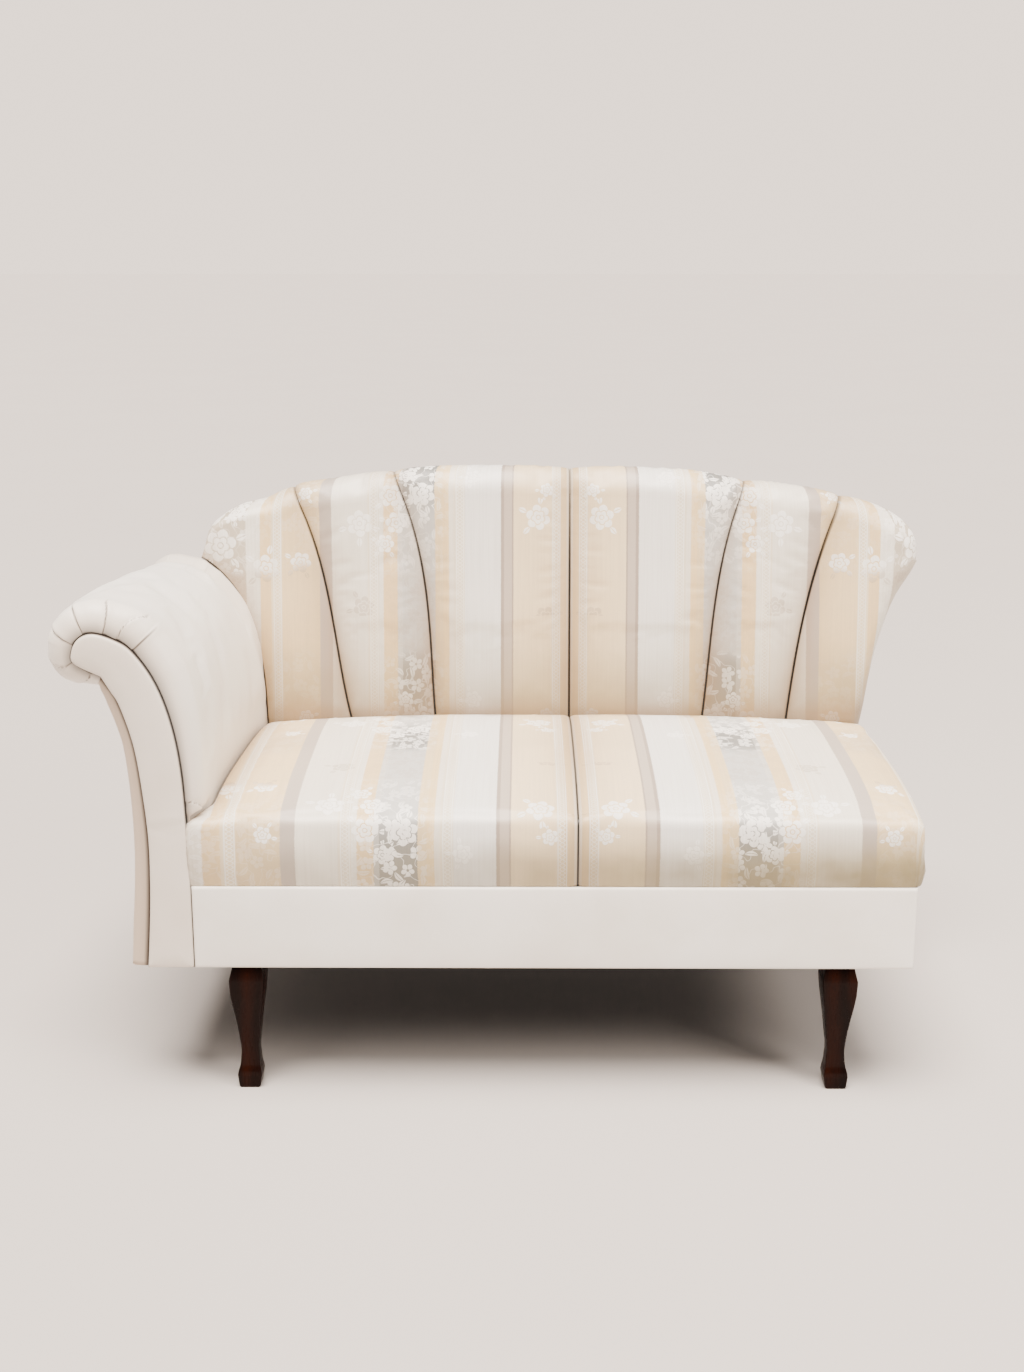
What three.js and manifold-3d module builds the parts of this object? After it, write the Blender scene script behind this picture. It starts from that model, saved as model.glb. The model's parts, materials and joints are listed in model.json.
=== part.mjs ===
import * as THREE from 'three';
import Module from 'manifold-3d';
import { mergeVertices } from 'three/addons/utils/BufferGeometryUtils.js';

const wasm = await Module();
wasm.setup();

// Fainting couch: a settee with a fluted fan back and one scroll arm, open at its right end.
// All sizes are in millimetres, +Z is up and +Y points to the back. X 0 is the seat's centre seam and
// Y 0 the front of the base, until the last step moves the origin to the middle of the footprint.

// Clearances
const gap = 0.3; // between pieces that touch
const softGap = 1.6; // between two padded covers
const boreGap = 0.4; // round a bolt or an insert
const overrun = 4; // how far a cutter runs past a face

// Overall sizes
const legHeight = 206;
const baseHeight = 133; // lower edge of the border to the seat line
const seatRise = 106; // seat line to the front edge of the seat
const baseDepth = 641; // front of the base to the back of the rear rail
const armSeam = 588; // centre seam to the arm
const baseReach = 516; // centre seam to the right end of the base
const seatReach = 529; // centre seam to the right end of the seat
const backRise = 689.5; // lower edge of the border to the top of the back
const backReach = 634; // centre seam to the right tip of the back
const armReach = 160; // width of the arm facing
const armRise = 526; // height of the arm facing

// Base frame
const railWidth = 30;
const rearRailWidth = 40;
const centreRailHeight = 98;
const leftRailWidth = 22;
const dustCover = 0.7;
const border = 13; // thickness of the padded border
const borderRound = 5;
const blockLength = 96;
const blockHeight = 60;
const insertRadius = 6;
const insertLength = 25;
const insertRise = 4; // the bore goes on past the insert
const boltRadius = 4;
const boltInLeg = 48;
const boltInRail = 30;
const boltChamfer = 1;
const legFromSeam = 78; // arm seam to the axis of the left legs
const legFromEnd = 110; // right end of the base to the axis of the right legs

// Seat deck
const wire = 3.8;
const clipWall = 1.2;
const clipWidth = 26;
const clipLength = 12;
const springCount = 6;
const springWidth = 50;
const springPitch = 40;
const springMargin = 70; // end spring to the side of the deck
const tieWire = 2.4;
const hessian = 1.2;
const cover = 2; // thickness of hide and damask with its lining
const seatRound = 18;
const seatTuckRound = 8;
const seatTuck = 4; // how far the seat draws in at its lower edge
const seatCrown = 19;
const seatSwell = 18; // extra crown along the middle
const seamDepth = 4;
const seamWidth = 12;
const seatProud = 3; // how far the seat and border stand before the frame

// Arm
const headRadius = 32;
const armPad = 44;
const armPadRear = 541; // where the pad stops growing thicker, behind its front edge
const armFrontRound = 35;
const armFootNear = 14; // where the pad starts to thicken beside the seat's front corner
const armFootFar = 68; // where it is full there
const armFootPad = 1.6; // padding there in front of it
const armRearRound = 60;
const armFront = 5; // front edge of the pad
const facingFront = 3; // how far the facing stands before the frame
const postWidth = 24;
const armBoard = 4;
const armRailRadius = 24;
const stuffRailHeight = 42;
const stuffRailWidth = 30;
const stuffRailSet = 3.2; // from the inside board to the stuffing rail
const outerPad = 24;
const outerRound = 8;
const rearPanel = 9;
const rearPanelInset = 2;

// Back
const backLean = 0.16; // slope of the front of the channels
const frameLean = 0.08;
const rearLean = 0.085;
const backThickness = 19; // the frame at the seat rail
const channelPad = 66; // the stuffed channels at the seat
const backBoard = 4;
const bottomRailHeight = 45;
const frameBand = 40; // width of the posts and the crest rail
const coreInset = 30; // outline of the back to its frame's cavity
const openingInset = 62; // outline of the back to the edge of the rear panel
const backPanel = 12;
const groove = 16; // depth of the seams between channels
const crestRound = 49;
const sideRound = 24;
const notch = 9; // dip of the outline at a seam
const crestFall = 170.5; // top of the back to the tip of its right shoulder

// Heights and depths that follow
const baseBottom = legHeight + gap + dustCover;
const baseTop = baseBottom + baseHeight;
const seatEdge = baseTop + seatRise;
const railBottom = baseBottom + gap;
const railTop = baseTop - wire - gap;
const wireHeight = railTop + gap + wire / 2;
const clipTop = railTop + gap + wire + clipWall;
const deckTop = clipTop + gap + hessian;
const padFoot = deckTop + gap;
const facingBack = border - seatProud - gap;
const crestHeight = baseBottom + backRise;
const backFrame = baseDepth - backThickness;
const seatDepth = backFrame - channelPad;
const frameRight = baseReach - border - gap;
const frameLeft = armSeam + armBoard + gap;
const rearRailFront = baseDepth - rearRailWidth;
const deckRear = backFrame - backBoard - 2 * gap;

// Shapes are gathered here, each one a named mesh
const couch = new THREE.Group();

const finishes = {
  hide: { color: 0xe9e2d6, roughness: 0.48, metalness: 0 },
  damask: { color: 0xcdbfa6, roughness: 0.42, metalness: 0 },
  mahogany: { color: 0x2a1109, roughness: 0.22, metalness: 0 },
  beech: { color: 0xc9a36f, roughness: 0.7, metalness: 0 },
  ply: { color: 0xb98f5c, roughness: 0.75, metalness: 0 },
  foam: { color: 0xeee3a8, roughness: 0.95, metalness: 0 },
  jute: { color: 0xa98e62, roughness: 0.95, metalness: 0 },
  cambric: { color: 0x1d1d1f, roughness: 0.9, metalness: 0 },
  steel: { color: 0x8d9094, roughness: 0.35, metalness: 0.9 },
  brass: { color: 0xb08d4a, roughness: 0.35, metalness: 0.9 },
};

const materials = {};
for (const [name, values] of Object.entries(finishes)) {
  materials[name] = new THREE.MeshStandardMaterial(values);
}

function addPiece(name, geometry, finish) {
  const mesh = new THREE.Mesh(geometry, materials[finish]);
  mesh.name = name;
  couch.add(mesh);
}

// Small helpers for numbers
const lerp = THREE.MathUtils.lerp;
const clamp = THREE.MathUtils.clamp;

function steps(count, low = 0, high = 1) {
  return Array.from({ length: count + 1 }, (_, i) => lerp(low, high, i / count));
}

function tableAt(table, place, column) {
  const low = clamp(Math.floor(place), 0, table.length - 2);
  return lerp(table[low][column], table[low + 1][column], place - low);
}

// Closed solids
function fromTriangles(points, triangles) {
  let volume = 0;
  for (const [a, b, c] of triangles) {
    const normal = new THREE.Vector3().crossVectors(points[b], points[c]);
    volume += points[a].dot(normal);
  }
  const index = triangles.flatMap(([a, b, c]) => (volume < 0 ? [a, c, b] : [a, b, c]));
  const geometry = new THREE.BufferGeometry();
  const positions = points.flatMap((point) => point.toArray());
  geometry.setAttribute('position', new THREE.Float32BufferAttribute(positions, 3));
  geometry.setIndex(index);
  geometry.computeVertexNormals();
  return geometry;
}

// A pad over a grid: depth 0 is its face, depth 1 its underside, and its edge runs through all depths
function pad(us, vs, depths, place) {
  const points = [];
  const keys = new Map();
  const last = depths.length - 1;
  const at = (i, j, k) => {
    const key = `${i},${j},${k}`;
    if (!keys.has(key)) {
      keys.set(key, points.length);
      points.push(place(us[i], vs[j], depths[k]));
    }
    return keys.get(key);
  };
  const triangles = [];
  const quad = (a, b, c, d) => triangles.push([a, b, c], [a, c, d]);
  const iEnd = us.length - 1;
  const jEnd = vs.length - 1;
  for (let i = 0; i < iEnd; i++) {
    for (let j = 0; j < jEnd; j++) {
      quad(at(i, j, 0), at(i + 1, j, 0), at(i + 1, j + 1, 0), at(i, j + 1, 0));
      quad(at(i, j, last), at(i, j + 1, last), at(i + 1, j + 1, last), at(i + 1, j, last));
    }
  }
  const edge = [];
  for (let i = 0; i < iEnd; i++) edge.push([i, 0]);
  for (let j = 0; j < jEnd; j++) edge.push([iEnd, j]);
  for (let i = iEnd; i > 0; i--) edge.push([i, jEnd]);
  for (let j = jEnd; j > 0; j--) edge.push([0, j]);
  edge.forEach(([i, j], n) => {
    const [p, q] = edge[(n + 1) % edge.length];
    for (let k = 0; k < last; k++) quad(at(i, j, k), at(i, j, k + 1), at(p, q, k + 1), at(p, q, k));
  });
  return fromTriangles(points, triangles);
}

// A prism between two ends of one outline, each end placed by a function of the outline's point
function prism(outline, near, far) {
  const flat = outline.map(([x, y]) => new THREE.Vector2(x, y));
  const faces = THREE.ShapeUtils.triangulateShape(flat, []);
  const count = outline.length;
  const points = [...outline.map(near), ...outline.map(far)];
  const triangles = [];
  for (const [a, b, c] of faces) triangles.push([a, b, c], [a + count, c + count, b + count]);
  const turn = THREE.ShapeUtils.area(flat) < 0;
  for (let i = 0; i < count; i++) {
    const j = (i + 1) % count;
    const [a, b] = turn ? [i, j] : [j, i];
    triangles.push([a, b, b + count], [a, b + count, a + count]);
  }
  return fromTriangles(points, triangles);
}

// A plate standing upright: its outline is X and Z, and its two faces lie at a depth that follows Z
function plate(outline, near, far) {
  const face = (depth) => ([x, z]) => new THREE.Vector3(x, depth(z), z);
  return prism(outline, face(near), face(far));
}

// A plate lying flat: its outline is X and Y
function slab(outline, bottom, top) {
  const face = (height) => ([x, y]) => new THREE.Vector3(x, y, height);
  return prism(outline, face(bottom), face(top));
}

function block(x0, x1, y0, y1, z0, z1) {
  return slab([[x0, y0], [x1, y0], [x1, y1], [x0, y1]], z0, z1);
}

function rod(radius, from, to, sides) {
  const geometry = new THREE.CylinderGeometry(radius, radius, from.distanceTo(to), sides);
  const along = new THREE.Vector3().subVectors(to, from).normalize();
  geometry.applyQuaternion(new THREE.Quaternion().setFromUnitVectors(new THREE.Vector3(0, 1, 0), along));
  const middle = new THREE.Vector3().addVectors(from, to).multiplyScalar(0.5);
  return geometry.translate(middle.x, middle.y, middle.z);
}

// Wire bent in a level plane
function bentWire(route, radius, sides) {
  const points = [];
  const triangles = [];
  route.forEach((point, n) => {
    const before = route[Math.max(n - 1, 0)];
    const after = route[Math.min(n + 1, route.length - 1)];
    const into = new THREE.Vector3().subVectors(point, before).normalize();
    const out = new THREE.Vector3().subVectors(after, point).normalize();
    const along = new THREE.Vector3().addVectors(into, out).normalize();
    const side = new THREE.Vector3(-along.y, along.x, 0);
    const bend = Math.max(along.dot(n === 0 ? out : into), 0.5);
    for (let s = 0; s < sides; s++) {
      const turn = (2 * Math.PI * (s + 0.5)) / sides;
      const ring = point.clone().addScaledVector(side, (radius * Math.cos(turn)) / bend);
      ring.z += radius * Math.sin(turn);
      points.push(ring);
    }
  });
  for (let n = 0; n < route.length - 1; n++) {
    for (let s = 0; s < sides; s++) {
      const a = n * sides + s;
      const b = n * sides + ((s + 1) % sides);
      triangles.push([a, b, b + sides], [a, b + sides, a + sides]);
    }
  }
  const end = (route.length - 1) * sides;
  for (let s = 1; s < sides - 1; s++) triangles.push([0, s + 1, s], [end, end + s, end + s + 1]);
  return fromTriangles(points, triangles);
}

// Boolean work on closed solids
function solidOf(geometry) {
  const bare = geometry.clone();
  bare.deleteAttribute('normal');
  bare.deleteAttribute('uv');
  const merged = mergeVertices(bare);
  const vertProperties = new Float32Array(merged.attributes.position.array);
  const triVerts = new Uint32Array(merged.index.array);
  return new wasm.Manifold(new wasm.Mesh({ numProp: 3, vertProperties, triVerts }));
}

function geometryOf(solid) {
  const { vertProperties, triVerts } = solid.getMesh();
  const geometry = new THREE.BufferGeometry();
  geometry.setAttribute('position', new THREE.Float32BufferAttribute(vertProperties, 3));
  geometry.setIndex([...triVerts]);
  geometry.computeVertexNormals();
  return geometry;
}

function cut(geometry, ...cutters) {
  const rest = cutters.reduce((solid, cutter) => solid.subtract(solidOf(cutter)), solidOf(geometry));
  return geometryOf(rest);
}

function join(...geometries) {
  const [first, ...others] = geometries.map(solidOf);
  return geometryOf(others.reduce((solid, other) => solid.add(other), first));
}

// Legs: square cabriole, leaning out at the knee and foot
// Rows go up the leg: height share of the leg, outer and inner reach shares of half the knee
const kneeWidth = 55;
const legEdge = 2.4; // flat along each corner
const legShares = [
  [0, 0.66, 0.5],
  [0.012, 0.685, 0.53],
  [0.1, 0.745, 0.64],
  [0.135, 0.7, 0.6],
  [0.18, 0.6, 0.54],
  [0.24, 0.545, 0.51],
  [0.31, 0.52, 0.49],
  [0.44, 0.605, 0.59],
  [0.586, 0.76, 0.71],
  [0.741, 0.94, 0.865],
  [0.84, 0.99, 0.94],
  [0.888, 1, 0.965],
  [1, 0.8, 0.88],
];
const legAxes = {
  front_left: [-armSeam + legFromSeam, kneeWidth / 2, -1, -1],
  front_right: [baseReach - legFromEnd, kneeWidth / 2, 1, -1],
  rear_left: [-armSeam + legFromSeam, baseDepth - kneeWidth / 2, -1, 1],
  rear_right: [baseReach - legFromEnd, baseDepth - kneeWidth / 2, 1, 1],
};

function legGeometry(x, y, outX, outY) {
  const corners = [[1, 1], [-1, 1], [-1, -1], [1, -1]];
  const edges = corners.flatMap(([a, b], n) => {
    const first = n % 2 === 0 ? [0, legEdge] : [legEdge, 0];
    const second = n % 2 === 0 ? [legEdge, 0] : [0, legEdge];
    return [[a, b, first], [a, b, second]];
  });
  const points = [];
  for (const [rise, outer, inner] of legShares) {
    for (const [a, b, [cutX, cutY]] of edges) {
      const reachX = ((a > 0 ? outer : inner) * kneeWidth) / 2 - cutX;
      const reachY = ((b > 0 ? outer : inner) * kneeWidth) / 2 - cutY;
      points.push(new THREE.Vector3(x + outX * a * reachX, y + outY * b * reachY, rise * legHeight));
    }
  }
  const sides = edges.length;
  const triangles = [];
  for (let n = 0; n < legShares.length - 1; n++) {
    for (let s = 0; s < sides; s++) {
      const a = n * sides + s;
      const b = n * sides + ((s + 1) % sides);
      triangles.push([a, b, b + sides], [a, b + sides, a + sides]);
    }
  }
  const end = (legShares.length - 1) * sides;
  for (let s = 1; s < sides - 1; s++) triangles.push([0, s + 1, s], [end, end + s, end + s + 1]);
  return fromTriangles(points, triangles);
}

function bore(x, y, radius, low, high) {
  return rod(radius, new THREE.Vector3(x, y, low), new THREE.Vector3(x, y, high), 12);
}

function turned(profile, x, y) {
  const points = profile.map(([radius, height]) => new THREE.Vector2(radius, height));
  return new THREE.LatheGeometry(points, 12).rotateX(Math.PI / 2).translate(x, y, 0);
}

function addLegs() {
  const boltBore = boltRadius + boreGap;
  for (const [place, [x, y, outX, outY]] of Object.entries(legAxes)) {
    const foot = legGeometry(x, y, outX, outY);
    const boreFoot = legHeight - boltInLeg - gap;
    addPiece(`leg_${place}`, cut(foot, bore(x, y, boltBore, boreFoot, legHeight + overrun)), 'mahogany');
    const boltFoot = legHeight - boltInLeg;
    const boltHead = railBottom + boltInRail;
    const bolt = [
      [0, boltFoot],
      [boltRadius - boltChamfer, boltFoot],
      [boltRadius, boltFoot + boltChamfer],
      [boltRadius, boltHead - boltChamfer],
      [boltRadius - boltChamfer, boltHead],
      [0, boltHead],
    ];
    addPiece(`leg_bolt_${place}`, turned(bolt, x, y), 'steel');
    const insert = [
      [boltBore, railBottom],
      [insertRadius, railBottom],
      [insertRadius, railBottom + insertLength],
      [boltBore, railBottom + insertLength],
      [boltBore, railBottom],
    ];
    addPiece(`leg_insert_${place}`, turned(insert, x, y), 'brass');
  }
}

// Base frame: rails bored for the legs, corner blocks and a dust cover
function railBores(row) {
  const places = Object.entries(legAxes).filter(([place]) => place.startsWith(row));
  const top = railBottom + Math.max(insertLength, boltInRail) + insertRise;
  return places.map(([, [x, y]]) => bore(x, y, insertRadius + boreGap, railBottom - overrun, top));
}

function addBase() {
  const frontNear = borderDepth();
  const front = block(-frameLeft + gap, frameRight, frontNear, frontNear + railWidth, railBottom, railTop);
  addPiece('front_rail', cut(front, ...railBores('front')), 'beech');
  const rearOutline = [
    [-frameLeft + gap, railBottom],
    [frameRight, railBottom],
    [frameRight, railTop],
    [-frameLeft + gap, railTop],
  ];
  const rear = plate(rearOutline, () => rearRailFront, rearPlane);
  addPiece('rear_rail', cut(rear, ...railBores('rear')), 'beech');
  const near = borderDepth() + railWidth + gap;
  const far = rearRailFront - gap;
  addPiece('right_rail', block(frameRight - railWidth, frameRight, near, far, railBottom, railTop), 'beech');
  const halfRail = railWidth / 2;
  const centreTop = railBottom + centreRailHeight;
  addPiece('centre_rail', block(-halfRail, halfRail, near, far, railBottom, centreTop), 'beech');
  const leftOuter = -frameLeft - postSpan();
  const leftInner = leftOuter + leftRailWidth;
  const leftNear = facingBack + gap + postWidth + gap;
  const leftFar = baseDepth - postWidth - gap;
  addPiece('left_rail', block(leftOuter, leftInner, leftNear, leftFar, railBottom, railTop), 'beech');
  const cornerX = { left: leftInner + gap, right: frameRight - railWidth - gap };
  const cornerY = { front: near, rear: far };
  for (const row of ['front', 'rear']) {
    for (const side of ['left', 'right']) {
      const x = cornerX[side];
      const y = cornerY[row];
      const alongX = side === 'left' ? blockLength : -blockLength;
      const alongY = row === 'front' ? blockLength : -blockLength;
      const outline = [[x, y], [x + alongX, y], [x, y + alongY]];
      addPiece(`corner_block_${row}_${side}`, slab(outline, railBottom, railBottom + blockHeight), 'beech');
    }
  }
  const sheet = block(leftOuter, frameRight, borderDepth() + gap, baseDepth, legHeight + gap, baseBottom);
  const holes = Object.values(legAxes).map(([x, y]) =>
    bore(x, y, insertRadius, legHeight - overrun, baseBottom + overrun));
  addPiece('dust_cover', cut(sheet, ...holes), 'cambric');
}

// The border is a thin padded panel with rounded edges
function borderDepth() {
  return border - seatProud;
}

const borderEdgeShares = [0, 0.2, 0.5, 1];

function paddedPanel(place, width, height) {
  const inU = borderRound / width;
  const inV = borderRound / height;
  return pad(steps(8, inU, 1 - inU), steps(4, inV, 1 - inV), borderEdgeShares, (u, v, depth) => {
    const turn = (Math.min(depth, 0.5) / 0.5) * (Math.PI / 2);
    const swing = depth === 1 ? 1 : Math.sin(turn);
    const outU = u <= inU ? -1 : u >= 1 - inU ? 1 : 0;
    const outV = v <= inV ? -1 : v >= 1 - inV ? 1 : 0;
    const back = depth === 1 ? border : borderRound * (1 - Math.cos(turn));
    return place(u * width + outU * borderRound * swing, v * height + outV * borderRound * swing, back);
  });
}

function addBorder() {
  const left = -armSeam + gap;
  const frontFace = (along, up, back) => new THREE.Vector3(left + along, back - seatProud, baseBottom + up);
  addPiece('front_border', paddedPanel(frontFace, baseReach - left, baseHeight), 'hide');
  const near = borderDepth() + gap;
  const sideFace = (along, up, back) => new THREE.Vector3(baseReach - back, near + along, baseBottom + up);
  addPiece('right_border', paddedPanel(sideFace, baseDepth - near, baseHeight), 'hide');
}

// Seat deck: sinuous springs clipped to the rails, tied across and covered with hessian
function springRoute(x) {
  const near = borderDepth() + railWidth / 2;
  const far = rearRailFront + clipLength / 2 + gap;
  const bars = Math.round((far - near) / springPitch);
  const pitch = (far - near) / bars;
  const half = (springWidth - pitch) / 2;
  const route = [];
  for (let bar = 0; bar <= bars; bar++) {
    const y = near + bar * pitch;
    const side = bar % 2 === 0 ? -1 : 1;
    const inner = bar === 0 ? 0 : half;
    const outer = bar === bars ? 0 : half;
    route.push(new THREE.Vector3(x + side * inner, y, wireHeight));
    route.push(new THREE.Vector3(x - side * outer, y, wireHeight));
    if (bar < bars) route.push(new THREE.Vector3(x - side * (half + pitch / 2), y + pitch / 2, wireHeight));
  }
  return route;
}

function addDeck() {
  const left = -armSeam + springMargin;
  const right = frameRight - springMargin;
  for (let n = 0; n < springCount; n++) {
    const x = lerp(left, right, n / (springCount - 1));
    const route = springRoute(x);
    const clips = [route[0], route[route.length - 1]].map((end) =>
      block(
        x - clipWidth / 2, x + clipWidth / 2,
        end.y - clipLength / 2, end.y + clipLength / 2,
        railTop + gap, clipTop,
      ));
    addPiece(`spring_${n + 1}`, join(bentWire(route, wire / 2, 4), ...clips), 'steel');
  }
  const tieHeight = wireHeight - wire / 2 - gap - tieWire / 2;
  const depth = rearRailFront - borderDepth() - railWidth;
  ['front', 'rear'].forEach((row, n) => {
    const y = borderDepth() + railWidth + (depth * (n + 1)) / 3;
    const from = new THREE.Vector3(left - springWidth / 2, y, tieHeight);
    const to = new THREE.Vector3(right + springWidth / 2, y, tieHeight);
    addPiece(`tie_wire_${row}`, rod(tieWire / 2, from, to, 6), 'steel');
  });
  const cloth = block(-armSeam + gap, frameRight, borderDepth(), deckRear, clipTop + gap, deckTop);
  addPiece('seat_hessian', cloth, 'jute');
}

// Arm: the scroll of the facing, from the deck over the head to the tuck below it
// Rows: reach share, rise share, pad share at the front, pad share at the back
const armScrollShares = [
  [0, 0.26, 0.58, 0.98],
  [0.015, 0.42, 0.58, 0.98],
  [0.046, 0.606, 0.64, 0.94],
  [0.121, 0.747, 0.84, 0.85],
  [0.2525, 0.863, 1.02, 0.72],
  [0.446, 0.951, 1.08, 0.5],
  [0.62, 0.985, 1.03, 0.34],
];
// The head is an arc: turn share of half a circle from its top, then the two pad shares
const armHeadShares = [
  [0, 1, 0.2],
  [0.22, 1, 0.18],
  [0.44, 1, 0.18],
  [0.64, 0.88, 0.18],
];
const armTuckShares = [0.74, 0.876, 0.5, 0.18];
// Outer edge of the facing going down: reach share, rise share, thickness share of the outside pad
const armOuterShares = [
  [0.665, 0.8365, 0.7],
  [0.584, 0.791, 0.85],
  [0.4775, 0.679, 0.78],
  [0.421, 0.549, 0.85],
  [0.384, 0.397, 1],
  [0.39, 0.26, 1.06],
  [0.415, 0.127, 1.14],
  [0.45, 0, 1.1],
];

function armPoint(reach, rise) {
  return new THREE.Vector3(-armSeam - reach, 0, baseBottom + rise);
}

function scrollTable() {
  const rows = armScrollShares.map(([reach, rise, front, rear]) =>
    [armPoint(reach * armReach, rise * armRise), front, rear]);
  for (const [turn, front, rear] of armHeadShares) {
    const angle = turn * Math.PI;
    const reach = armReach - headRadius + headRadius * Math.sin(angle);
    const rise = armRise - headRadius + headRadius * Math.cos(angle);
    rows.push([armPoint(reach, rise), front, rear]);
  }
  const [reach, rise, front, rear] = armTuckShares;
  rows.push([armPoint(reach * armReach, rise * armRise), front, rear]);
  return rows;
}

const scrollRows = scrollTable();
const scrollEnd = scrollRows.length - 1;
const scrollCurve = new THREE.CatmullRomCurve3(scrollRows.map(([point]) => point), false, 'catmullrom', 0.5);
const outerEnd = armOuterShares.length - 1;
const outerPoints = armOuterShares.map(([reach, rise]) => armPoint(reach * armReach, rise * armRise));
const outerCurve = new THREE.CatmullRomCurve3(outerPoints, false, 'catmullrom', 0.5);

// Outward normal of a curve in the X and Z plane, on the left of its way along
function sideNormal(curve, share) {
  const along = curve.getTangent(share);
  return new THREE.Vector3(along.z, 0, -along.x).normalize();
}

function scrollAt(place, offset) {
  const share = place / scrollEnd;
  return scrollCurve.getPoint(share).addScaledVector(sideNormal(scrollCurve, share), offset);
}

function outerAt(place, offset) {
  const share = place / outerEnd;
  return outerCurve.getPoint(share).addScaledVector(sideNormal(outerCurve, share), offset);
}

// Places of the arm's rows behind its front edge, and how late its padding tapers round the roll
const armFrontShares = [0, 0.075, 0.15, 0.35, 0.65, 1];
const armEndShares = [0.55, 0.2, 0];
const taperShares = [1, 1.65];

// Rows where the pad comes forward over the seat, and where its rear end starts and stops rounding down
const armFootShares = [1.28, 1.5];
const armRearShares = [4.6, 6.2];
const outsideFrontShares = [0, 0.3, 1];
const outsideEdgeShare = 0.3; // thickness of the outside pad at the facing
const outsideTopShare = 0.3; // row of the outer edge where the outside pad starts

// Thickness of the arm's padding: thin at the facing, full a little behind it, tapering to the back
function armDepth(place, y) {
  const way = clamp((y - armFront - armFrontRound) / (armPadRear - armFrontRound), 0, 1);
  const bend = lerp(...taperShares, place / scrollEnd);
  const full = armPad * lerp(tableAt(scrollRows, place, 1), tableAt(scrollRows, place, 2), way ** bend);
  const above = shareOf(place, ...armFootShares);
  const edge = roundAt(armFront + armFrontRound - y, armFrontRound);
  const front = lerp(THREE.MathUtils.smoothstep(y, armFootNear, armFootFar), edge, above);
  const rear = lerp(1, roundAt(y - baseDepth + armRearRound, armRearRound), shareOf(place, ...armRearShares));
  const least = cover + 2 * gap + armFootPad * (1 - above);
  return least + (full - least) * front * rear;
}

// Thickness of the padding beside the back, before its rear end rounds down
function armDepthAtBack(place) {
  return armDepth(place, baseDepth - armRearRound);
}

function shareOf(value, low, high) {
  return clamp((value - low) / (high - low), 0, 1);
}

// Height of a quarter round, from 1 where it starts to 0 at its end
function roundAt(reach, radius) {
  return Math.sqrt(1 - clamp(reach / radius, 0, 1) ** 2);
}

function armStations() {
  const front = armFrontShares.map((share) => armFront + share * armFrontRound);
  const rear = steps(5, armFront + armPadRear / 5, armFront + armPadRear);
  return [...front, ...rear, ...armEndShares.map((share) => baseDepth - share * armRearRound)];
}

function scrollPlaces() {
  return [...steps(scrollEnd * 2, 0, scrollEnd), armFootShares[0]].sort((a, b) => a - b);
}

function armOutline(inset) {
  const foot = armPoint(0, 0);
  const toe = outerAt(outerEnd, -inset);
  const outline = [[foot.x - inset, foot.z + (inset > 0 ? gap : 0)]];
  for (const place of scrollPlaces()) {
    const point = scrollAt(place, -inset);
    outline.push([point.x, point.z]);
  }
  for (const place of steps(outerEnd * 2).map((share) => share * (outerEnd - 0.5))) {
    const point = outerAt(place, -inset);
    outline.push([point.x, point.z]);
  }
  outline.push([toe.x, foot.z + (inset > 0 ? gap : 0)]);
  return outline;
}

function postSpan() {
  return armReach * Math.min(...armOuterShares.map(([reach]) => reach)) - 2 * (armBoard + gap);
}

function addArm() {
  const places = scrollPlaces();
  const stations = armStations();
  const hide = pad(places, stations, [0, 1], (place, y, depth) => {
    const point = scrollAt(place, armDepth(place, y) - depth * cover);
    return point.setY(y);
  });
  addPiece('arm_cover', hide, 'hide');
  const inner = stations.slice(2);
  const foam = pad(places, inner, [0, 1], (place, y, depth) => {
    const outer = armDepth(place, y) - cover - gap;
    return scrollAt(place, lerp(outer, gap, depth)).setY(y);
  });
  addPiece('arm_foam', foam, 'foam');
  const boardEnd = scrollEnd - 2;
  const board = pad(steps(boardEnd * 2, 0, boardEnd), [inner[0], baseDepth], [0, 1], (place, y, depth) =>
    scrollAt(place, -depth * armBoard).setY(y));
  addPiece('arm_inside_board', board, 'ply');
  const facing = plate(armOutline(0), () => -facingFront, () => facingBack);
  addPiece('arm_facing', facing, 'hide');
  const postOutline = armOutline(armBoard + gap);
  const frontNear = facingBack + gap;
  const rearNear = baseDepth - postWidth;
  addPiece('arm_front_post', plate(postOutline, () => frontNear, () => frontNear + postWidth), 'beech');
  addPiece('arm_rear_post', plate(postOutline, () => rearNear, () => baseDepth), 'beech');
  const railNear = frontNear + postWidth + gap;
  const railFar = rearNear - gap;
  const head = armPoint(armReach - headRadius, armRise - headRadius);
  const from = head.clone().setY(railNear);
  const to = head.clone().setY(railFar);
  addPiece('arm_top_rail', rod(armRailRadius, from, to, 16), 'beech');
  const railX = -armSeam - armBoard - 2 * gap - stuffRailSet;
  const stuff = block(railX - stuffRailWidth, railX, railNear, railFar, padFoot, padFoot + stuffRailHeight);
  addPiece('arm_stuffing_rail', stuff, 'beech');
  addPiece('arm_outside_panel', outsidePanel(), 'hide');
  addPiece('arm_rear_panel', armRearPanel(), 'hide');
}

// Outside of the arm: a padded panel whose front edge rounds back to the facing
function outsidePanel() {
  const near = armFront + facingFront;
  const stations = outsideFrontShares.map((share) => near + share * outerRound);
  const places = steps(outerEnd * 2, outsideTopShare, outerEnd);
  return pad(places, [...stations, baseDepth], [0, 1], (place, y, depth) => {
    const back = clamp((near + outerRound - y) / outerRound, 0, 1);
    const round = lerp(outsideEdgeShare, 1, Math.sqrt(1 - back * back));
    const thick = outerPad * tableAt(armOuterShares, place, 2) * round;
    const point = outerAt(place, 2 * gap);
    point.x -= thick * (1 - depth);
    point.z = Math.max(point.z, baseBottom);
    return point.setY(y);
  });
}

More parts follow.
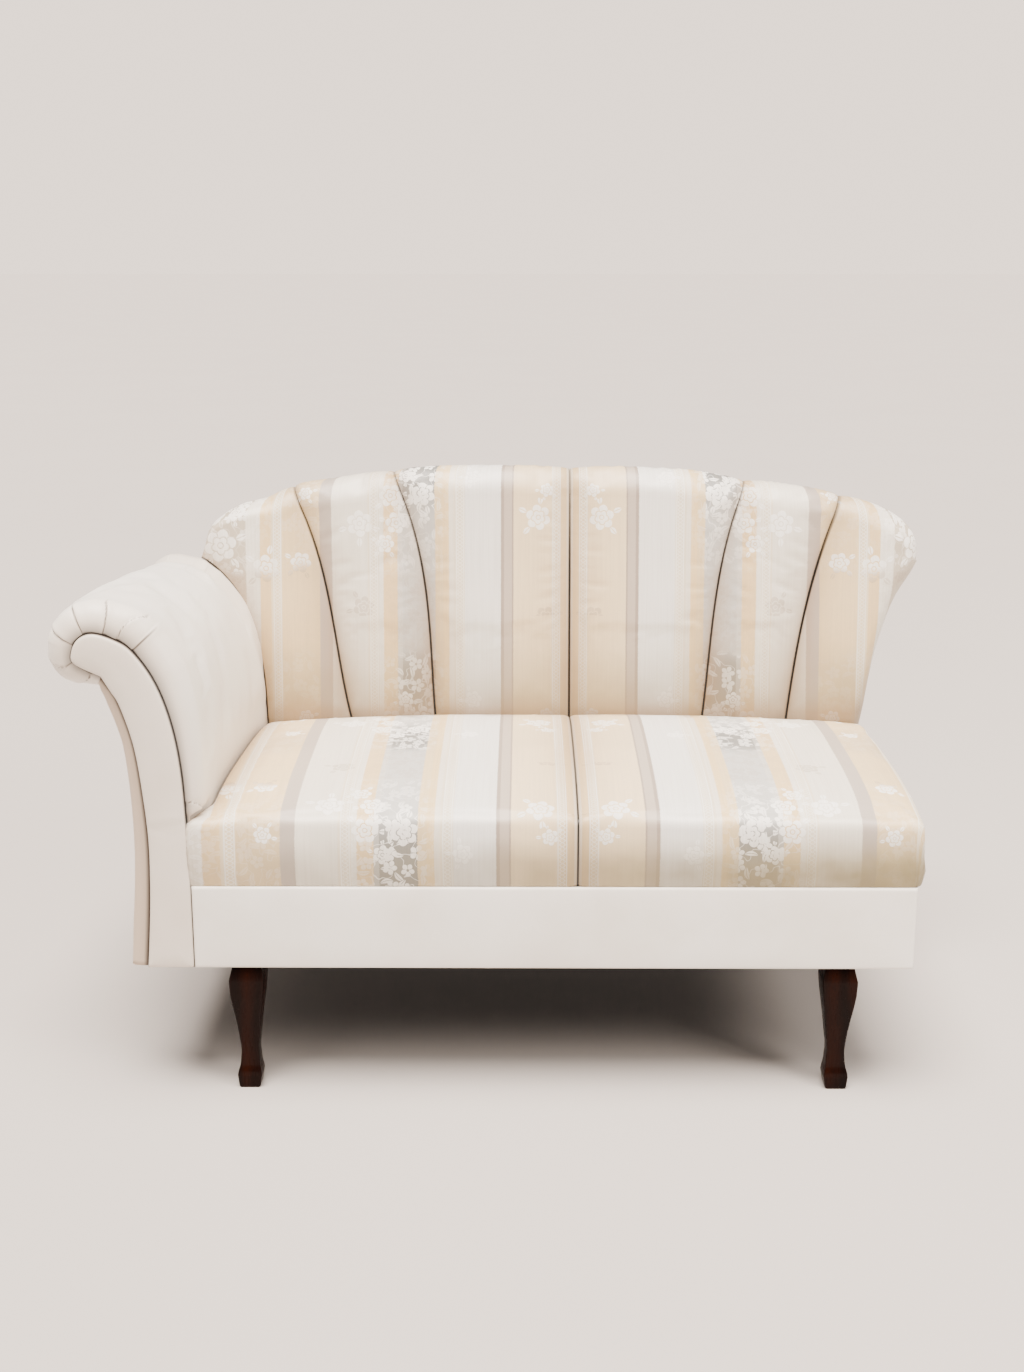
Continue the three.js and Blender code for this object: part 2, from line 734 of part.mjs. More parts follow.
function armRearPanel() {
  const outline = [[-frameLeft - gap, baseBottom], [-frameLeft - gap, padFoot]];
  for (const place of scrollPlaces()) {
    const point = scrollAt(place, armDepth(place, baseDepth) - rearPanelInset);
    outline.push([point.x, Math.max(point.z, padFoot)]);
  }
  for (const place of steps(outerEnd * 2, 0.5, outerEnd)) {
    const point = outerAt(place, 0);
    const thick = outerPad * tableAt(armOuterShares, place, 2) - rearPanelInset;
    outline.push([point.x - thick, Math.max(point.z, baseBottom)]);
  }
  return plate(outline, () => baseDepth + gap, () => baseDepth + gap + rearPanel);
}

// Back: depth of its front, its frame and its rear at a height
function frontPlane(z) {
  return seatDepth + backLean * Math.max(z - seatEdge, 0);
}

function framePlane(z) {
  return backFrame + frameLean * (z - railTop);
}

function rearPlane(z) {
  return baseDepth + rearLean * (z - baseBottom);
}

// Outline of the back without the dips at its seams, left shoulder to right shoulder
// Rows: reach share of the right tip, fall share of the crest to its shoulder on that side
const crestShares = [
  [-1.046, 1],
  [-1.03, 0.701],
  [-0.99, 0.5525],
  [-0.935, 0.436],
  [-0.865, 0.356],
  [-0.79, 0.209],
  [-0.675, 0.149],
  [-0.505, 0.04],
  [-0.3, 0.0065],
  [0, 0],
  [0.29, 0.035],
  [0.5, 0.132],
  [0.63, 0.2],
  [0.772, 0.285],
  [0.85, 0.37],
  [0.92, 0.49],
  [0.97, 0.64],
  [0.995, 0.81],
  [1, 1],
];
// Right side going down: reach share, rise share from the deck to the shoulder
const sideShares = [
  [1, 1],
  [0.981, 0.943],
  [0.931, 0.81],
  [0.886, 0.595],
  [0.855, 0.34],
  [0.839, 0.196],
  [0.833, 0],
];
// Seams: row of the crest table, foot share of the reach, lean at the foot and at the head
const seamShares = [
  [5, -0.568, 0.44, 0.44],
  [7, -0.361, 0.19, 0.41],
  [9, 0, 0, 0],
  [11, 0.351, 0.235, 0.345],
  [13, 0.6, 0.13, 0.385],
];
const lobeShare = 0.5; // how far along the scroll the left shoulder leaves the arm

const crestEnd = crestShares.length - 1;
const tipHeight = crestHeight - crestFall;
const lobePlace = lobeShare * scrollEnd;
const armTip = scrollAt(lobePlace, armDepthAtBack(lobePlace) + softGap);
const leftFall = crestHeight - armTip.z;
const crestPoints = crestShares.map(([reach, fall]) =>
  new THREE.Vector3(reach * backReach, 0, crestHeight - fall * (reach < 0 ? leftFall : crestFall)));
crestPoints[0] = armTip;
const crestCurve = new THREE.CatmullRomCurve3(crestPoints, false, 'catmullrom', 0.5);
const sidePoints = sideShares.map(([reach, rise]) =>
  new THREE.Vector3(reach * backReach, 0, lerp(padFoot, tipHeight, rise)));
const sideCurve = new THREE.CatmullRomCurve3(sidePoints, false, 'catmullrom', 0.5);

function crestAt(place, offset) {
  const share = place / crestEnd;
  return crestCurve.getPoint(share).addScaledVector(sideNormal(crestCurve, share), offset);
}

// Up the right side: 0 at the deck, 1 at the shoulder
function sideAt(rise, inset) {
  return sideCurve.getPoint(1 - rise).addScaledVector(sideNormal(sideCurve, 1 - rise), inset);
}

// Up the left side, along the arm
function armWallAt(rise, inset) {
  const place = rise * lobePlace;
  return scrollAt(place, armDepthAtBack(place) + softGap + inset);
}

// Outline of the frame's cavity or of the rear opening, inset from the outline of the back.
// The shares say how far up the two sides it runs before it crosses to the crest, which loses some rows
const coreShares = { arm: 0.92, side: 0.94, rows: 2 };
const openingShares = { arm: 0.68, side: 0.8, rows: 3 };
const wallFootShare = 0.03;

function wallRises(top) {
  return steps(10, wallFootShare, top);
}

function crestRows(skipped) {
  return steps((crestEnd - 2 * skipped) * 2, skipped, crestEnd - skipped);
}

function backOutline(inset, foot, shares) {
  const points = [];
  for (const rise of wallRises(shares.arm)) points.push(armWallAt(rise, inset));
  for (const row of crestRows(shares.rows)) points.push(crestAt(row, inset));
  for (const rise of wallRises(shares.side).reverse()) points.push(sideAt(rise, inset));
  const first = points[0];
  const last = points[points.length - 1];
  points.unshift(new THREE.Vector3(first.x, 0, foot));
  points.push(new THREE.Vector3(last.x, 0, foot));
  return points.map((point) => [point.x, point.z]);
}

function seamCurve([row, footShare, footLean, headLean]) {
  const head = crestAt(row, 0);
  const way = Math.sign(footShare);
  const fan = new THREE.Vector3(way * headLean, 0, 1).normalize();
  const top = head.clone().addScaledVector(fan, -crestRound);
  const foot = new THREE.Vector3(footShare * backReach, 0, padFoot);
  const reach = (top.z - foot.z) / 3;
  const curve = new THREE.CubicBezierCurve3(
    foot,
    new THREE.Vector3(foot.x + way * footLean * reach, 0, foot.z + reach),
    new THREE.Vector3(top.x - way * headLean * reach, 0, top.z - reach),
    top,
  );
  return { curve, fan, row };
}

// One channel between two walls: each wall gives its point at a rise, its fan and its row on the crest
const channelAcrossShares = [0, 0.06, 0.2, 0.35, 0.5, 0.65, 0.8, 0.94, 1];
const channelDepthShares = [0, 0.18, 0.36, 0.5, 0.64, 0.82, 1];
const crownCurveShare = 2.4; // how flat a channel is between its seams
const edgeEaseShare = 0.35; // how far the outer edge of an end channel draws back

function channelGeometry(left, right, crownAt) {
  const up = steps(lobePlace * 2);
  const topInset = (u) => {
    const fan = new THREE.Vector3().lerpVectors(left.fan, right.fan, u).normalize();
    const round = lerp(left.round, right.round, u);
    const head = crestAt(lerp(left.row, right.row, u), 0).addScaledVector(fan, -round);
    head.x += lerp(left.shift, right.shift, u);
    return { fan, round, point: head };
  };
  const face = (u, v) => {
    const top = topInset(u).point;
    const a = left.at(v);
    const b = right.at(v);
    const point = new THREE.Vector3().lerpVectors(a, b, u);
    const topLine = new THREE.Vector3().lerpVectors(left.at(1), right.at(1), u);
    return point.addScaledVector(top.sub(topLine), v ** 2);
  };
  return pad(channelAcrossShares, up, channelDepthShares, (u, v, depth) => {
    const point = face(u, v);
    const crown = crownAt(u);
    const front = frontPlane(point.z) + groove * (1 - crown);
    const rear = rearPlane(point.z) + backPanel;
    const turn = depth * Math.PI;
    const swing = Math.sin(turn);
    let y = lerp(front, rear, depth);
    if (v === 1) {
      const { fan, round } = topInset(u);
      point.addScaledVector(fan, Math.max(round - notch * (1 - crown), 0) * swing);
      y = lerp(front, rear, (1 - Math.cos(turn)) / 2);
    } else if (right.bulge && u === 1) {
      point.addScaledVector(right.bulge(v).fan, right.bulge(v).round * swing);
      y = lerp(front, rear, (1 - Math.cos(turn)) / 2);
    }
    point.z = Math.max(point.z, padFoot);
    return point.setY(y);
  });
}

function addChannels() {
  const seams = seamShares.map(seamCurve);
  const wallOf = (seam, side) => ({
    at: (v) => seam.curve.getPoint(v).add(new THREE.Vector3(side * gap, 0, 0)),
    shift: side * gap,
    fan: seam.fan,
    round: crestRound,
    row: seam.row,
  });
  const armWall = {
    at: (v) => armWallAt(v, 0),
    fan: sideNormal(crestCurve, 0).negate(),
    round: 0,
    row: 0,
    shift: 0,
  };
  const tipFan = sideNormal(sideCurve, 0).negate();
  const sideWall = {
    at: (v) => {
      const { fan, round } = sideBulge(v);
      return sideAt(v, 0).addScaledVector(fan, -round);
    },
    bulge: sideBulge,
    shift: 0,
    fan: tipFan,
    round: crestRound,
    row: crestEnd,
  };
  const walls = [armWall, ...seams, sideWall];
  const core = plate(backOutline(coreInset, padFoot - overrun, coreShares),
    (z) => framePlane(z) - backBoard - 2 * gap, (z) => rearPlane(z) + gap);
  const opening = plate(backOutline(openingInset, padFoot - overrun, openingShares),
    framePlane, (z) => rearPlane(z) + backPanel + overrun);
  for (let n = 0; n < walls.length - 1; n++) {
    const left = n === 0 ? armWall : wallOf(seams[n - 1], 1);
    const right = n === seams.length ? sideWall : wallOf(seams[n], -1);
    let crownAt = middleCrown;
    if (n === 0) crownAt = (u) => endCrown(1 - u);
    if (n === seams.length) crownAt = endCrown;
    const channel = channelGeometry(left, right, crownAt);
    addPiece(`back_channel_${n + 1}`, cut(channel, core, opening), 'damask');
  }
}

// Crown across a channel: grooves at both its seams
function middleCrown(u) {
  return Math.sqrt(1 - Math.abs(2 * u - 1) ** crownCurveShare);
}

// Crown across an end channel: groove at its seam, full in the middle, easing at the outer edge
function endCrown(u) {
  const rise = Math.sqrt(1 - Math.max(1 - 2 * u, 0) ** crownCurveShare);
  return rise - edgeEaseShare * Math.max(2 * u - 1, 0) ** 2;
}

function sideBulge(v) {
  return { fan: sideNormal(sideCurve, 1 - v).negate(), round: lerp(sideRound, crestRound, v ** 2) };
}

// Back frame: bottom rail, four posts, crest rail and board, with the outside panel behind
function addBackFrame() {
  const inner = coreInset + 2 * gap;
  const outer = inner + frameBand;
  const leanBand = (along, widths, place) => pad(along, widths, [0, 1], (a, b, depth) => {
    const point = place(a, b);
    return point.setY(lerp(framePlane(point.z), rearPlane(point.z), depth));
  });
  const rows = crestRows(coreShares.rows);
  addPiece('back_crest_rail', leanBand(rows, [inner, outer], crestAt), 'beech');
  const room = leanBand(rows, [inner - gap, outer + gap], crestAt);
  const wider = cutterDepth(room);
  const leftPost = leanBand(wallRises(coreShares.arm).slice(1), [inner, outer], armWallAt);
  addPiece('back_post_left', cut(leftPost, wider), 'beech');
  const rightPost = leanBand(wallRises(coreShares.side).slice(1), [inner, outer], sideAt);
  addPiece('back_post_right', cut(rightPost, wider), 'beech');
  addMiddlePosts(wider);
  addBottomRail();
  const boardNear = (z) => framePlane(z) - backBoard - gap;
  const boardFar = (z) => framePlane(z) - gap;
  addPiece('back_board', plate(backOutline(inner, padFoot, coreShares), boardNear, boardFar), 'ply');
  addOutsidePanel();
}

function cutterDepth(geometry) {
  const position = geometry.attributes.position;
  for (let n = 0; n < position.count; n++) {
    const y = position.getY(n);
    const middle = (framePlane(position.getZ(n)) + rearPlane(position.getZ(n))) / 2;
    position.setY(n, y + Math.sign(y - middle) * overrun);
  }
  return geometry;
}

function bottomRailTop() {
  return railTop + gap + bottomRailHeight;
}

function addBottomRail() {
  const left = armWallAt(wallFootShare, coreInset + 2 * gap).x;
  const right = sideAt(wallFootShare, coreInset + 2 * gap).x;
  const top = bottomRailTop();
  const outline = [[left, railTop + gap], [right, railTop + gap], [right, top], [left, top]];
  addPiece('back_bottom_rail', plate(outline, framePlane, rearPlane), 'beech');
}

function addMiddlePosts(crestRoom) {
  for (const [name, side] of [['left', -1], ['right', 1]]) {
    const middle = (side * backReach) / 4;
    const half = frameBand / 2;
    const foot = bottomRailTop() + gap;
    const top = crestHeight - coreInset - frameBand;
    const [left, right] = [middle - half, middle + half];
    const outline = [[left, foot], [right, foot], [right, top], [left, top]];
    const post = cut(plate(outline, framePlane, rearPlane), crestRoom);
    addPiece(`back_middle_post_${name}`, post, 'beech');
  }
}

// An outline moved in by one distance, corners mitred; it runs clockwise seen from the front
function shrunk(outline, distance) {
  return outline.map(([x, z], n) => {
    const before = outline[(n + outline.length - 1) % outline.length];
    const after = outline[(n + 1) % outline.length];
    const into = new THREE.Vector2(x - before[0], z - before[1]).normalize();
    const out = new THREE.Vector2(after[0] - x, after[1] - z).normalize();
    const along = new THREE.Vector2().addVectors(into, out).normalize();
    const reach = distance / Math.max(along.dot(out), 0.5);
    return [x + along.y * reach, z - along.x * reach];
  });
}

function addOutsidePanel() {
  const upper = shrunk(backOutline(openingInset, padFoot - softGap, openingShares), softGap);
  const left = -frameLeft + gap;
  const lower = [
    [upper[0][0], baseTop],
    [left, baseTop],
    [left, baseBottom],
    [baseReach, baseBottom],
    [baseReach, baseTop],
    [upper[upper.length - 1][0], baseTop],
  ];
  const outline = [...upper, ...lower.reverse()];
  const near = (z) => rearPlane(z) + gap;
  const far = (z) => rearPlane(z) + backPanel - gap;
  addPiece('outside_back', plate(outline, near, far), 'hide');
}

// Seat: a crowned pad whose left edge follows the arm
function seatLeft(y) {
  return armPoint(0, 0).x + armDepth(0, y) + softGap;
}

// Rows of the seat across and from front to back, and the shares of its edge's height
const seatLeftShares = [0, 0.03, 0.08, 0.16, 0.26, 0.37, 0.46];
const seatRightShares = [0.58, 0.68, 0.78, 0.87, 0.94, 0.98, 1];
const seatBackShares = [0, 0.03, 0.07, 0.13, 0.25, 0.4, 0.55, 0.7, 0.85, 0.95, 1];
const seatEdgeShares = [0, 0.12, 0.25, 0.38, 0.5, 1];
const swellShares = [0.33, 0.9]; // swell at the front and at the back
const swellCurveShare = 3; // how flat the seat is between its edges

function seatTop(u, v) {
  const acrossFall = Math.abs(2 * u - 1) ** swellCurveShare;
  const alongFall = Math.abs(2 * v - 1) ** swellCurveShare;
  return seatEdge + seatCrown * (1 - alongFall) + lerp(...swellShares, v) * seatSwell * (1 - acrossFall);
}

function seatSolid(inset, low) {
  const near = -seatProud;
  const far = seatDepth - 2 * softGap - seatProud;
  const half = seamWidth / 2;
  const seams = { left: -half, seam: 0, right: half };
  const across = [...seatLeftShares, ...Object.keys(seams), ...seatRightShares];
  return pad(across, seatBackShares, seatEdgeShares, (u, v, depth) => {
    const roundY = v < 0.5 ? seatRound : seatTuckRound;
    const y = lerp(near + inset + roundY, far - inset - roundY, v);
    const left = seatLeft(y) + inset + seatTuckRound;
    const right = seatReach - inset - seatRound;
    const x = u in seams ? seams[u] : lerp(left, right, u);
    const share = u in seams ? clamp((x - left) / (right - left), 0, 1) : u;
    const valley = u === 'seam' ? seamDepth : 0;
    const top = seatTop(share, v) - inset - valley;
    const outX = u === 0 ? -1 : u === 1 ? 1 : 0;
    const outY = v === 0 ? -1 : v === 1 ? 1 : 0;
    const roundX = u === 0 ? seatTuckRound : seatRound;
    const turn = (Math.min(depth, 0.5) / 0.5) * (Math.PI / 2);
    const drop = Math.max(roundX * Math.abs(outX), roundY * Math.abs(outY)) * (1 - Math.cos(turn));
    const tuck = depth === 1 ? seatTuck : 0;
    const swing = depth === 1 ? 1 : Math.sin(turn);
    const corner = outX !== 0 && outY !== 0 ? Math.SQRT1_2 : 1;
    const foot = low(outX < 0 || outY > 0);
    return new THREE.Vector3(
      x + outX * (roundX * swing * corner - (outX > 0 ? tuck : 0)),
      y + outY * (roundY * swing * corner - (outY < 0 ? tuck / 2 + valley * swing : 0)),
      depth === 1 ? foot : top - drop,
    );
  });
}

function addSeat() {
  const rim = (hidden) => (hidden ? padFoot : baseTop + gap);
  const inside = seatSolid(cover, () => baseTop - overrun);
  addPiece('seat_cover', cut(seatSolid(0, rim), inside), 'damask');
  addPiece('seat_foam', seatSolid(cover + gap, () => padFoot), 'foam');
}

addLegs();
addBase();
addBorder();
addDeck();
addSeat();
addArm();
addChannels();
addBackFrame();

// The origin is under the middle of the whole couch, on the floor
const box = new THREE.Box3().setFromObject(couch);
const middle = box.getCenter(new THREE.Vector3());
couch.position.set(-middle.x, -middle.y, -box.min.z);
couch.updateMatrixWorld(true);

export default couch;
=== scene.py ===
import json
import math
import random

import bpy
from mathutils import Matrix, Vector, noise
from mathutils.geometry import delaunay_2d_cdt


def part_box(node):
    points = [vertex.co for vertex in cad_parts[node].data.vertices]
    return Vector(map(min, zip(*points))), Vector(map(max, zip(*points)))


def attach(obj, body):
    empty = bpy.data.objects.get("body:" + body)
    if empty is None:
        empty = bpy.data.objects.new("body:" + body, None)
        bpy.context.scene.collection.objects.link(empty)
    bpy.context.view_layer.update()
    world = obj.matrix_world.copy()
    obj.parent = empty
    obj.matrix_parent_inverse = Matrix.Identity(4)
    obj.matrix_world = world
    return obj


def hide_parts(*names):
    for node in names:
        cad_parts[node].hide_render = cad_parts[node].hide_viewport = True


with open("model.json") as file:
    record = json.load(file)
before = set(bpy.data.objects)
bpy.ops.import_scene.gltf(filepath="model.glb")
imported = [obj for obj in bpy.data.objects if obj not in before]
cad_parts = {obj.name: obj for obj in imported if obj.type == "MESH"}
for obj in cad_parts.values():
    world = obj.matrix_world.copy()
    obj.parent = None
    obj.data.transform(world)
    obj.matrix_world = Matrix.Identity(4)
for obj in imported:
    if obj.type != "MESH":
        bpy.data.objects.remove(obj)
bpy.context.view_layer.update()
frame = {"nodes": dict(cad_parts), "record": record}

print("frame loaded with", len(frame["nodes"]), "nodes")

# Sizes are in millimetres. X 0 is the seat's centre seam, Y 0 the front of the base, Z 0 the floor,
# and place() puts such a point into the frame in metres
couch = {
    "armSeam": 588,
    "baseReach": 516,
    "baseDepth": 641,
    "seatRise": 106,
    "seatReach": 529,
    "backReach": 634,
    "backRise": 689.5,
    "crestFall": 170.5,
    "frontProud": 3,
    "gap": 0.3,
    "softGap": 1.6,  # between two padded covers
}
borderLow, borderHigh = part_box("front_border")
seamX = borderLow.x * 1000 + couch["armSeam"] - couch["gap"]
frontY = borderLow.y * 1000 + couch["frontProud"]
baseBottom = borderLow.z * 1000
baseTop = borderHigh.z * 1000
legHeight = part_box("leg_front_left")[1].z * 1000
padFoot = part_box("seat_foam")[0].z * 1000
seatEdge = baseTop + couch["seatRise"]
crestHeight = baseBottom + couch["backRise"]


def place(x, y, z):
    return Vector(((x + seamX) / 1000, (y + frontY) / 1000, z / 1000))


# Small helpers for numbers and curves
def lerp(a, b, share):
    return a + (b - a) * share


def clamp(value, low=0.0, high=1.0):
    return min(max(value, low), high)


def smooth(value, low=0.0, high=1.0):
    share = clamp((value - low) / (high - low))
    return share * share * (3 - 2 * share)


def steps(count, low=0.0, high=1.0):
    return [lerp(low, high, i / count) for i in range(count + 1)]


def joinedSteps(*runs):  # runs of steps that share their ends
    return [runs[0][1]] + [value for run in runs for value in steps(*run)[1:]]


def easedSteps(count):  # closer together at both ends
    return [0.5 - 0.5 * math.cos(math.pi * i / count) for i in range(count + 1)]


def tableAt(table, row, column):  # a column's value between two rows
    low = int(clamp(math.floor(row), 0, len(table) - 2))
    return lerp(table[low][column], table[low + 1][column], row - low)


def smoothCurve(points):  # runs through all the points
    last = len(points) - 1

    def at(share):
        spot = clamp(share) * last
        row = min(int(spot), last - 1)
        way = spot - row
        b, c = points[row], points[row + 1]
        a = points[row - 1] if row > 0 else b * 2 - c
        d = points[row + 2] if row + 2 <= last else c * 2 - b
        start, end = (c - a) / 2, (d - b) / 2
        bend = (c - b) * 3 - start * 2 - end
        turn = (b - c) * 2 + start + end
        return b + start * way + bend * way ** 2 + turn * way ** 3

    return at


def sideNormal(curve, share):
    along = curve(clamp(share + 1e-4)) - curve(clamp(share - 1e-4))
    return Vector((along.y, -along.x)).normalized()


def besideCurve(curve, share, offset):
    return curve(share) + sideNormal(curve, share) * offset


def ripple(x, y, z, size):  # soft noise from -1 to 1
    return noise.noise(Vector((x / size, y / size, z / size)))


# Materials
class Field:  # a node's output that takes part in sums
    def __init__(self, tree, socket):
        self.tree, self.socket = tree, socket

    def to(self, operation, *others):
        return calc(self.tree, operation, self, *others)

    def band(self, low, high):  # 0 below low, 1 above high
        values = {0: self, 1: low, 2: high}
        return field(self.tree, "ShaderNodeMapRange", 0, values, interpolation_type="SMOOTHSTEP")

    def plateau(self, rise, full, ease, end):  # 1 from full to ease
        return self.band(rise, full) * (1 - self.band(ease, end))

    def __add__(self, other):
        return self.to("ADD", other)

    def __sub__(self, other):
        return self.to("SUBTRACT", other)

    def __rsub__(self, other):
        return calc(self.tree, "SUBTRACT", other, self)

    def __mul__(self, other):
        return self.to("MULTIPLY", other)

    def __truediv__(self, other):
        return self.to("DIVIDE", other)

    def __abs__(self):
        return self.to("ABSOLUTE")


def startMaterial(name):
    mat = bpy.data.materials.new(name)
    mat.use_nodes = True
    tree = mat.node_tree
    tree.nodes.clear()
    out = tree.nodes.new("ShaderNodeOutputMaterial")
    shader = tree.nodes.new("ShaderNodeBsdfPrincipled")
    tree.links.new(shader.outputs[0], out.inputs["Surface"])
    return mat, tree, shader


def put(tree, kind, inputs=None, **settings):
    node = tree.nodes.new(kind)
    for key, value in settings.items():
        setattr(node, key, value)
    for key, value in (inputs or {}).items():
        connect(tree, value, node.inputs[key])
    return node


def field(tree, kind, output, inputs=None, **settings):
    return Field(tree, put(tree, kind, inputs, **settings).outputs[output])


def connect(tree, value, socket):
    if isinstance(value, Field):
        value = value.socket
    if isinstance(value, bpy.types.NodeSocket):
        tree.links.new(value, socket)
    else:
        socket.default_value = value


def calc(tree, operation, *values):
    return field(tree, "ShaderNodeMath", 0, dict(enumerate(values)), operation=operation)


def vectorCalc(tree, operation, first, second):
    spot = "Scale" if operation == "SCALE" else 1
    return put(tree, "ShaderNodeVectorMath", {0: first, spot: second}, operation=operation).outputs[0]


def split(tree, vector):
    return [Field(tree, part) for part in put(tree, "ShaderNodeSeparateXYZ", {0: vector}).outputs]


def blendColour(tree, factor, first, second):
    return put(tree, "ShaderNodeMix", {0: factor, 6: first, 7: second}, data_type="RGBA").outputs[2]


def stretched(tree, point, scale):
    return put(tree, "ShaderNodeMapping", {"Vector": point, "Scale": scale}).outputs[0]


def objectPoint(tree, scale=(1, 1, 1)):
    return stretched(tree, put(tree, "ShaderNodeTexCoord").outputs["Object"], scale)


def cloudy(tree, point, scale, detail=3, roughness=0.5, dimensions="3D"):
    values = {"Vector": point, "Scale": scale, "Detail": detail, "Roughness": roughness}
    return field(tree, "ShaderNodeTexNoise", "Fac", values, noise_dimensions=dimensions)


def bumpFrom(tree, height, strength, distance, normal=None):
    values = {"Height": height, "Strength": strength, "Distance": distance}
    if normal:
        values["Normal"] = normal
    return put(tree, "ShaderNodeBump", values).outputs[0]


def attribute(tree, name):
    return field(tree, "ShaderNodeAttribute", "Fac", attribute_name=name)


def surface(tree, shader, colour, rough, normal, fixed):  # fixed values stay the same all over the piece
    values = {"Base Color": colour, "Roughness": rough, "Normal": normal, **fixed}
    for key, value in values.items():
        connect(tree, value, shader.inputs[key])


def rgb(red, green, blue):  # colour as seen on a screen, 0 to 255
    return tuple(((c / 255 + 0.055) / 1.055) ** 2.4 for c in (red, green, blue)) + (1,)


hideLook = {
    "colour": rgb(243, 238, 231),
    "shade": rgb(228, 219, 208),
    # warmToneAndShade is painted warm shade where the arm cover meets the facing, the seat and the back, in
    # its folds and on the outside panel's front, and an even warm tone on the facing
    "warmToneAndShade": rgb(198, 178, 158),
    # creaseShade is painted shade: dark lines in folds, in the gaps at edges and on hidden inner layers
    "creaseShade": rgb(38, 26, 18),
    "evenness": 0.35,  # how far the mottle is drawn back to the main colour
    "grain": 620,  # pebbles in a metre
    "grainHeight": 0.00022,
    "softHeight": 0.0012,
    "bump": 0.35,
    "roughness": 0.36,
    "roughSpread": 0.14,
    "sheen": 0.08,
}


def makeHide():
    mat, tree, shader = startMaterial("creamHide")
    point = objectPoint(tree)
    mottle = cloudy(tree, point, 7, 4).band(0.3, 0.75)
    colour = blendColour(tree, mottle, hideLook["colour"], hideLook["shade"])
    colour = blendColour(tree, hideLook["evenness"], colour, hideLook["colour"])
    # painted warm shade where parts meet and in folds, with the facing's even warm tone
    colour = blendColour(tree, attribute(tree, "toneAndShade"), colour, hideLook["warmToneAndShade"])
    # painted shade: drawn towards the dark crease colour in folds, edge gaps and hidden layers
    colour = blendColour(tree, attribute(tree, "creaseShade"), colour, hideLook["creaseShade"])
    cells = {"Vector": point, "Scale": hideLook["grain"]}
    pebbles = field(tree, "ShaderNodeTexVoronoi", "Distance", cells, feature="SMOOTH_F1")
    fine = cloudy(tree, point, 1500, 2)
    normal = bumpFrom(tree, cloudy(tree, point, 22), hideLook["bump"], hideLook["softHeight"])
    normal = bumpFrom(tree, pebbles + fine * 0.4, hideLook["bump"], hideLook["grainHeight"], normal)
    rough = fine * hideLook["roughSpread"] + hideLook["roughness"]
    surface(tree, shader, colour, rough, normal, {"Sheen Weight": hideLook["sheen"]})
    return mat


# Stripes of the damask: where each starts from the centre seam, its colour, how thickly small flowers
# cover it, and how much its ground darkens under them
stripes = [
    (0, rgb(230, 218, 198), 0.0, 0.0),
    (4, rgb(228, 199, 152), 0.0, 0.1),
    (17, rgb(232, 212, 178), 0.0, 0.0),
    (31, rgb(236, 213, 174), 0.0, 0.1),
    (99, rgb(158, 143, 132), 0.0, 0.0),
    (102, rgb(187, 172, 158), 0.0, 0.0),
    (118, rgb(158, 143, 132), 0.0, 0.0),
    (121, rgb(234, 231, 226), 0.0, 0.0),
    (188, rgb(229, 216, 194), 0.0, 0.0),
    (206, rgb(232, 222, 206), 0.1, 0.0),
    (214, rgb(230, 200, 148), 0.15, 0.0),
    (226, rgb(228, 202, 156), 0.4, 0.1),
    (240, rgb(196, 195, 192), 1.0, 1.0),
    (300, rgb(206, 202, 196), 1.0, 0.5),
    (308, rgb(229, 198, 148), 0.45, 0.1),
    (333, rgb(234, 227, 214), 0.3, 0.0),
    (343, rgb(230, 217, 195), 0.0, 0.0),
    (361, rgb(232, 225, 212), 0.0, 0.0),
    (427, rgb(182, 169, 159), 0.0, 0.1),
    (450, rgb(231, 204, 158), 0.2, 0.25),
    (516, rgb(231, 213, 180), 0.0, 0.0),
    (536, rgb(230, 200, 150), 0.2, 0.1),
    (556, rgb(234, 228, 216), 0.6, 0.0),
    (580, rgb(196, 184, 166), 1.0, 0.35),
]
# Open flowers: reach from the centre seam, height, size and turn
openFlowers = [
    (57, 808, 23, 0.2),
    (42, 856, 13, 1.9),
    (174, 884, 16, 0.7),
    (262, 850, 22, 1.2),
    (322, 846, 21, 2.6),
    (312, 798, 20, 0.4),
    (332, 762, 17, 1.5),
    (296, 884, 15, 2.2),
    (377, 797, 24, 2.2),
    (484, 728, 19, 1.4),
    (546, 718, 25, 0.1),
    (476, 852, 14, 2.8),
    (628, 758, 30, 2.9),
    (604, 818, 17, 1.1),
    (652, 812, 18, 0.8),
    (632, 868, 20, 2.0),
    (598, 704, 14, 0.3),
    (178, 592, 28, 1.6),
    (44, 632, 20, 2.7),
    (370, 650, 20, 0.9),
    (402, 514, 19, 2.4),
    (262, 560, 18, 1.0),
    (493, 566, 17, 0.3),
    (92, 508, 15, 2.1),
]
